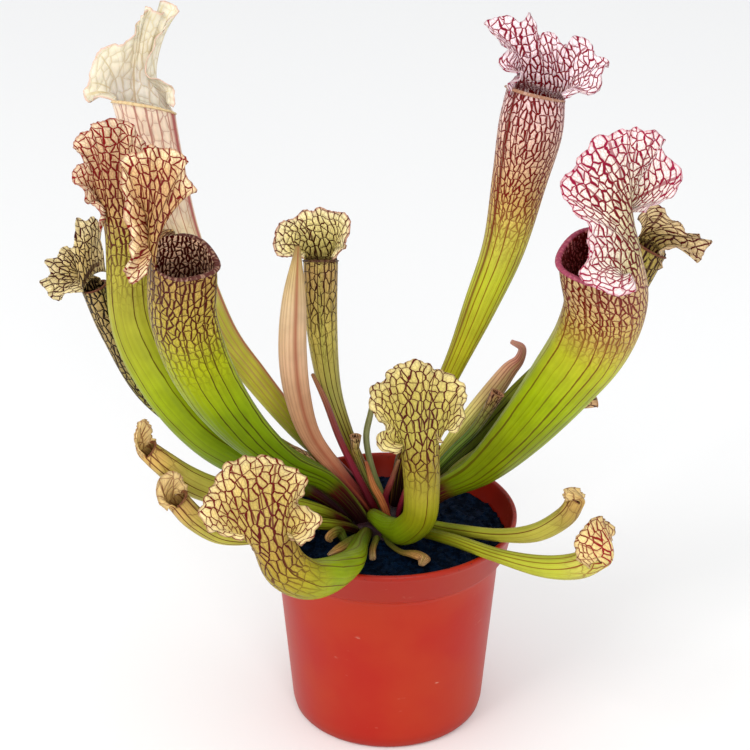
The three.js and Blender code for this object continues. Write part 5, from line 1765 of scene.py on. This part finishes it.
@dataclass(frozen=True)
class Filling:
    """The peat in the pot: a plug with a rough top and crumbs that lie on it."""

    level: float = 91.0
    roughness: float = 0.9
    gap: float = 0.3
    rings: int = 46
    sides: int = 120
    crumb: float = 1.5
    crumbs: float = 0.11
    finish: Peat = Peat()

    def top(self, x: Array, y: Array) -> Array:
        """Gives the height of the peat's rough top."""
        broad = (
            np.sin(0.31 * x + 0.17 * y) + np.sin(0.23 * y - 0.37 * x + 2.0)
            + 0.8 * np.sin(0.6 * x + 0.5 * y + 4.0)
        ) * self.roughness / 2.0
        small = np.sin(1.7 * x + 0.9 * y) * np.sin(1.3 * y - 1.1 * x + 1.0) * 0.35
        tiny = np.sin(3.9 * x - 2.2 * y + 2.0) * np.sin(3.1 * y + 2.7 * x) * 0.2
        return self.level + broad + small + tiny

    def build(self, pot: Pot, workshop: Workshop) -> list[bpy.types.Object]:
        """Builds the plug and its crumbs.

        Args:
            pot: the pot that the plug fills.
            workshop: the shared shader groups.
        Returns:
            The plug and the crumbs.
        """
        material = self.finish.dress(workshop)
        step = pot.height - pot.collar
        collar = pot.collar_foot - pot.wall
        wall = [
            (pot.foot_radius - 6.2, pot.floor + self.gap), (pot.foot_radius - pot.wall - self.gap, 6.4),
            (pot.body_top - pot.wall - self.gap - 0.2, step - 2.0), (collar - 1.4, step + pot.wall + 0.6),
            (collar + 0.2, self.level - 0.6),
        ]
        angle = np.linspace(0.0, WHOLE_TURN, self.sides, endpoint=False)
        rings = [np.stack([r * np.cos(angle), r * np.sin(angle), np.full(self.sides, z)], 1) for r, z in wall]
        for k in range(self.rings):
            radius = (wall[-1][0] - 0.4) * (1.0 - k / self.rings)
            x, y = radius * np.cos(angle), radius * np.sin(angle)
            rings.append(np.stack([x, y, self.top(x, y)], 1))
        ends = np.array([[0.0, 0.0, wall[0][1]], [0.0, 0.0, self.level]])
        plug = stacked_object("peat_plug", rings, ends, material)
        crumbs = self.scatter(plug, material)
        for piece in (plug, crumbs):
            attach(piece, BODY)
        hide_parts("peat_filling")
        return [plug, crumbs]

    def scatter(self, plug: bpy.types.Object, material: bpy.types.Material) -> bpy.types.Object:
        """Scatters crumbs over the plug's top with Geometry Nodes.

        Args:
            plug: the peat that they lie on.
            material: what they are dressed in.
        Returns:
            All crumbs as one object.
        """
        recipe = Recipe("Peat crumbs")
        density = recipe.input("Crumbs per square metre", "Float", self.crumbs * 1e6)
        size = recipe.input("Crumb radius", "Float", self.crumb * MM)
        floor = recipe.input("Lowest place", "Float", (self.level - 3.0) * MM)
        seed = recipe.input("Seed", "Int", 7)
        height = recipe.split(recipe.add("GeometryNodeInputPosition").outputs[0])[2]
        high = recipe.add("FunctionNodeCompare", {"operation": "GREATER_THAN"})
        recipe.feed(high.inputs[0], height)
        recipe.feed(high.inputs[1], floor)
        spots = recipe.add(
            "GeometryNodeDistributePointsOnFaces", Mesh=recipe.start.outputs[0], Density=density,
            Seed=seed, Selection=high.outputs[0],
        )
        ball = recipe.add("GeometryNodeMeshIcoSphere", Radius=size, Subdivisions=1)
        shake = recipe.add("ShaderNodeTexNoise", {"noise_dimensions": "3D"}, Scale=900.0)
        centred = recipe.vector("SUBTRACT", shake.outputs[1], (0.5, 0.5, 0.5))
        moved = recipe.vector("SCALE", centred, self.crumb * 1.3 * MM)
        rough = recipe.add("GeometryNodeSetPosition", Geometry=ball.outputs[0], Offset=moved)
        turn = recipe.add("FunctionNodeRandomValue", {"data_type": "FLOAT_VECTOR"})
        recipe.feed(turn.inputs[1], (6.28, 6.28, 6.28))
        grow = recipe.add("FunctionNodeRandomValue", {"data_type": "FLOAT_VECTOR"}, Seed=3)
        recipe.feed(grow.inputs[0], (0.18, 0.18, 0.12))
        recipe.feed(grow.inputs[1], (1.1, 0.8, 0.7))
        whole = recipe.add(
            "GeometryNodeInstanceOnPoints", Points=spots.outputs[0], Instance=rough.outputs[0],
            Rotation=turn.outputs[0], Scale=grow.outputs[0],
        )
        recipe.finish(whole.outputs[0], material)
        return recipe.run(link_object("crumb_ground", plug.data.copy()), "peat_crumbs")


@dataclass(frozen=True)
class Rootstock:
    """The lumpy dark crimson cushion at the peat's level that all the leaves stand in."""

    centre: tuple[float, float] = (-2.0, 9.0)
    radius: float = 19.5
    top: float = 95.0
    bottom: float = 77.0
    sides: int = 96
    rows: int = 40
    dark: str = "1c040e"
    light: str = "340c18"
    brown: str = "48201c"

    def profile(self) -> list[tuple[float, float]]:
        """Gives the cushion's cross section as radius and height, from below."""
        return [
            (0.0, self.bottom), (11.0, self.bottom), (self.radius - 3.0, self.bottom + 3.0),
            (self.radius, self.bottom + 8.0), (self.radius - 1.0, self.top - 5.0),
            (self.radius - 6.0, self.top - 2.0), (7.0, self.top - 0.5), (0.0, self.top),
        ]

    def dress(self, workshop: Workshop) -> bpy.types.Material:
        """Builds the cushion's dark crimson and brown material."""
        surface = Surface("rootstock_skin")
        graph = surface.graph
        mottle = workshop.mottle.place(graph, Place=graph.object_place(), Patch=4.0, Grain=0.6)
        patches, grains = mottle["Patches"], mottle["Grains"]
        colour = graph.coat(
            paint(self.dark), (graph.step(patches, 0.35, 0.65), 1.0, self.light),
            (graph.step(grains, 0.55, 0.75), 1.0, self.brown),
        )
        surface.bump(graph.plus(grains, patches), 0.6, 0.8)
        surface.feed(Base_Color=colour, Roughness=graph.step(grains, 0.2, 0.8, 0.35, 0.65))
        return surface.material

    def build(self, workshop: Workshop) -> bpy.types.Object:
        """Builds the cushion.

        Args:
            workshop: the shared shader groups.
        Returns:
            The cushion's object, which replaces the CAD rootstock.
        """
        section = Curve(tuple(self.profile())).at(np.linspace(0.0, 1.0, self.rows))
        angle = np.linspace(0.0, WHOLE_TURN, self.sides, endpoint=False)
        lump = 1.0 + 0.05 * np.sin(5.0 * angle + 1.0) + 0.03 * np.sin(9.0 * angle)
        fine = 0.25 * np.sin(21.0 * angle)
        rings = []
        for radius, height in section[1:-1]:
            reach = radius * lump + fine
            x = reach * np.cos(angle) + self.centre[0]
            y = reach * np.sin(angle) + self.centre[1]
            bob = 0.35 * np.sin(0.9 * x + 0.4 * y) * np.sin(0.8 * y - 0.5 * x) * (radius > 2.0)
            rings.append(np.stack([x, y, height + bob], 1))
        ends = np.array([[*self.centre, self.bottom], [*self.centre, self.top]])
        cushion = stacked_object("rootstock_crown", rings, ends, self.dress(workshop))
        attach(cushion, BODY)
        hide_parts("rootstock")
        return cushion


@dataclass(frozen=True)
class Studio:
    """A plain pale floor, soft daylight from above and the photograph's camera."""

    camera_place: Triple = (-5.9, -815.7, 552.0)
    tilt: float = 65.0
    lens: float = 96.0
    sensor: float = 36.0
    floor_colour: str = "fbfbfb"
    floor_reach: float = 6000.0
    sky: float = 0.86
    sky_colour: Triple = (0.98, 0.99, 1.0)
    aim: Triple = (0.0, 0.0, 160.0)

    def build(self) -> None:
        """Builds camera, world, lights and floor."""
        camera = bpy.data.cameras.new("camera")
        camera.lens = self.lens
        camera.sensor_width = self.sensor
        camera.clip_start = 0.05
        camera.clip_end = 20.0
        holder = link_object("camera", camera)
        holder.location = Vector(self.camera_place) * MM
        holder.rotation_euler = (math.radians(self.tilt), 0.0, 0.0)
        bpy.context.scene.camera = holder
        world = bpy.data.worlds.new("daylight")
        world.use_nodes = True
        sky = world.node_tree.nodes["Background"]
        sky.inputs["Color"].default_value = (*self.sky_colour, 1.0)
        sky.inputs["Strength"].default_value = self.sky
        bpy.context.scene.world = world
        bpy.context.scene.view_settings.view_transform = "Standard"
        self.light("window", (-1000.0, -1000.0, 1500.0), 700.0, 11.0, (1.0, 0.98, 0.95))
        self.light("front", (300.0, -1700.0, 700.0), 900.0, 13.0, (1.0, 1.0, 1.0))
        surface = Surface("studio_floor")
        surface.feed(Base_Color=paint(self.floor_colour), Roughness=0.9)
        square = np.array([(-1.0, -1.0, 0.0), (1.0, -1.0, 0.0), (1.0, 1.0, 0.0), (-1.0, 1.0, 0.0)])
        floor = mesh_object("studio_floor", square * self.floor_reach, [(0, 1, 2, 3)], surface.material)

    def light(self, name: str, place: Triple, width: float, power: float, colour: Triple) -> None:
        """Adds a square soft light that looks at the plant's middle.

        Args:
            name: the light's name.
            place: where it hangs.
            width: its side.
            power: in watts.
            colour: red, green and blue.
        """
        lamp = bpy.data.lights.new(name, "AREA")
        lamp.size = width * MM
        lamp.energy = power
        lamp.color = colour
        holder = link_object(name, lamp)
        holder.location = Vector(place) * MM
        aim = Vector(self.aim) * MM - holder.location
        holder.rotation_euler = aim.to_track_quat("-Z", "Y").to_euler()


def main() -> None:
    """Builds the plant piece by piece."""
    logging.basicConfig(level=logging.INFO, format="%(name)s: %(message)s")
    Studio().build()
    workshop = Workshop()
    pot = Pot()
    made = [pot.build(workshop), *Filling().build(pot, workshop), Rootstock().build(workshop)]
    made += [leaf.build(workshop) for leaf in LEAVES]
    for piece in made:
        LOG.info("%s: %d faces", piece.name, len(piece.data.polygons))


if __name__ == "__main__":
    main()
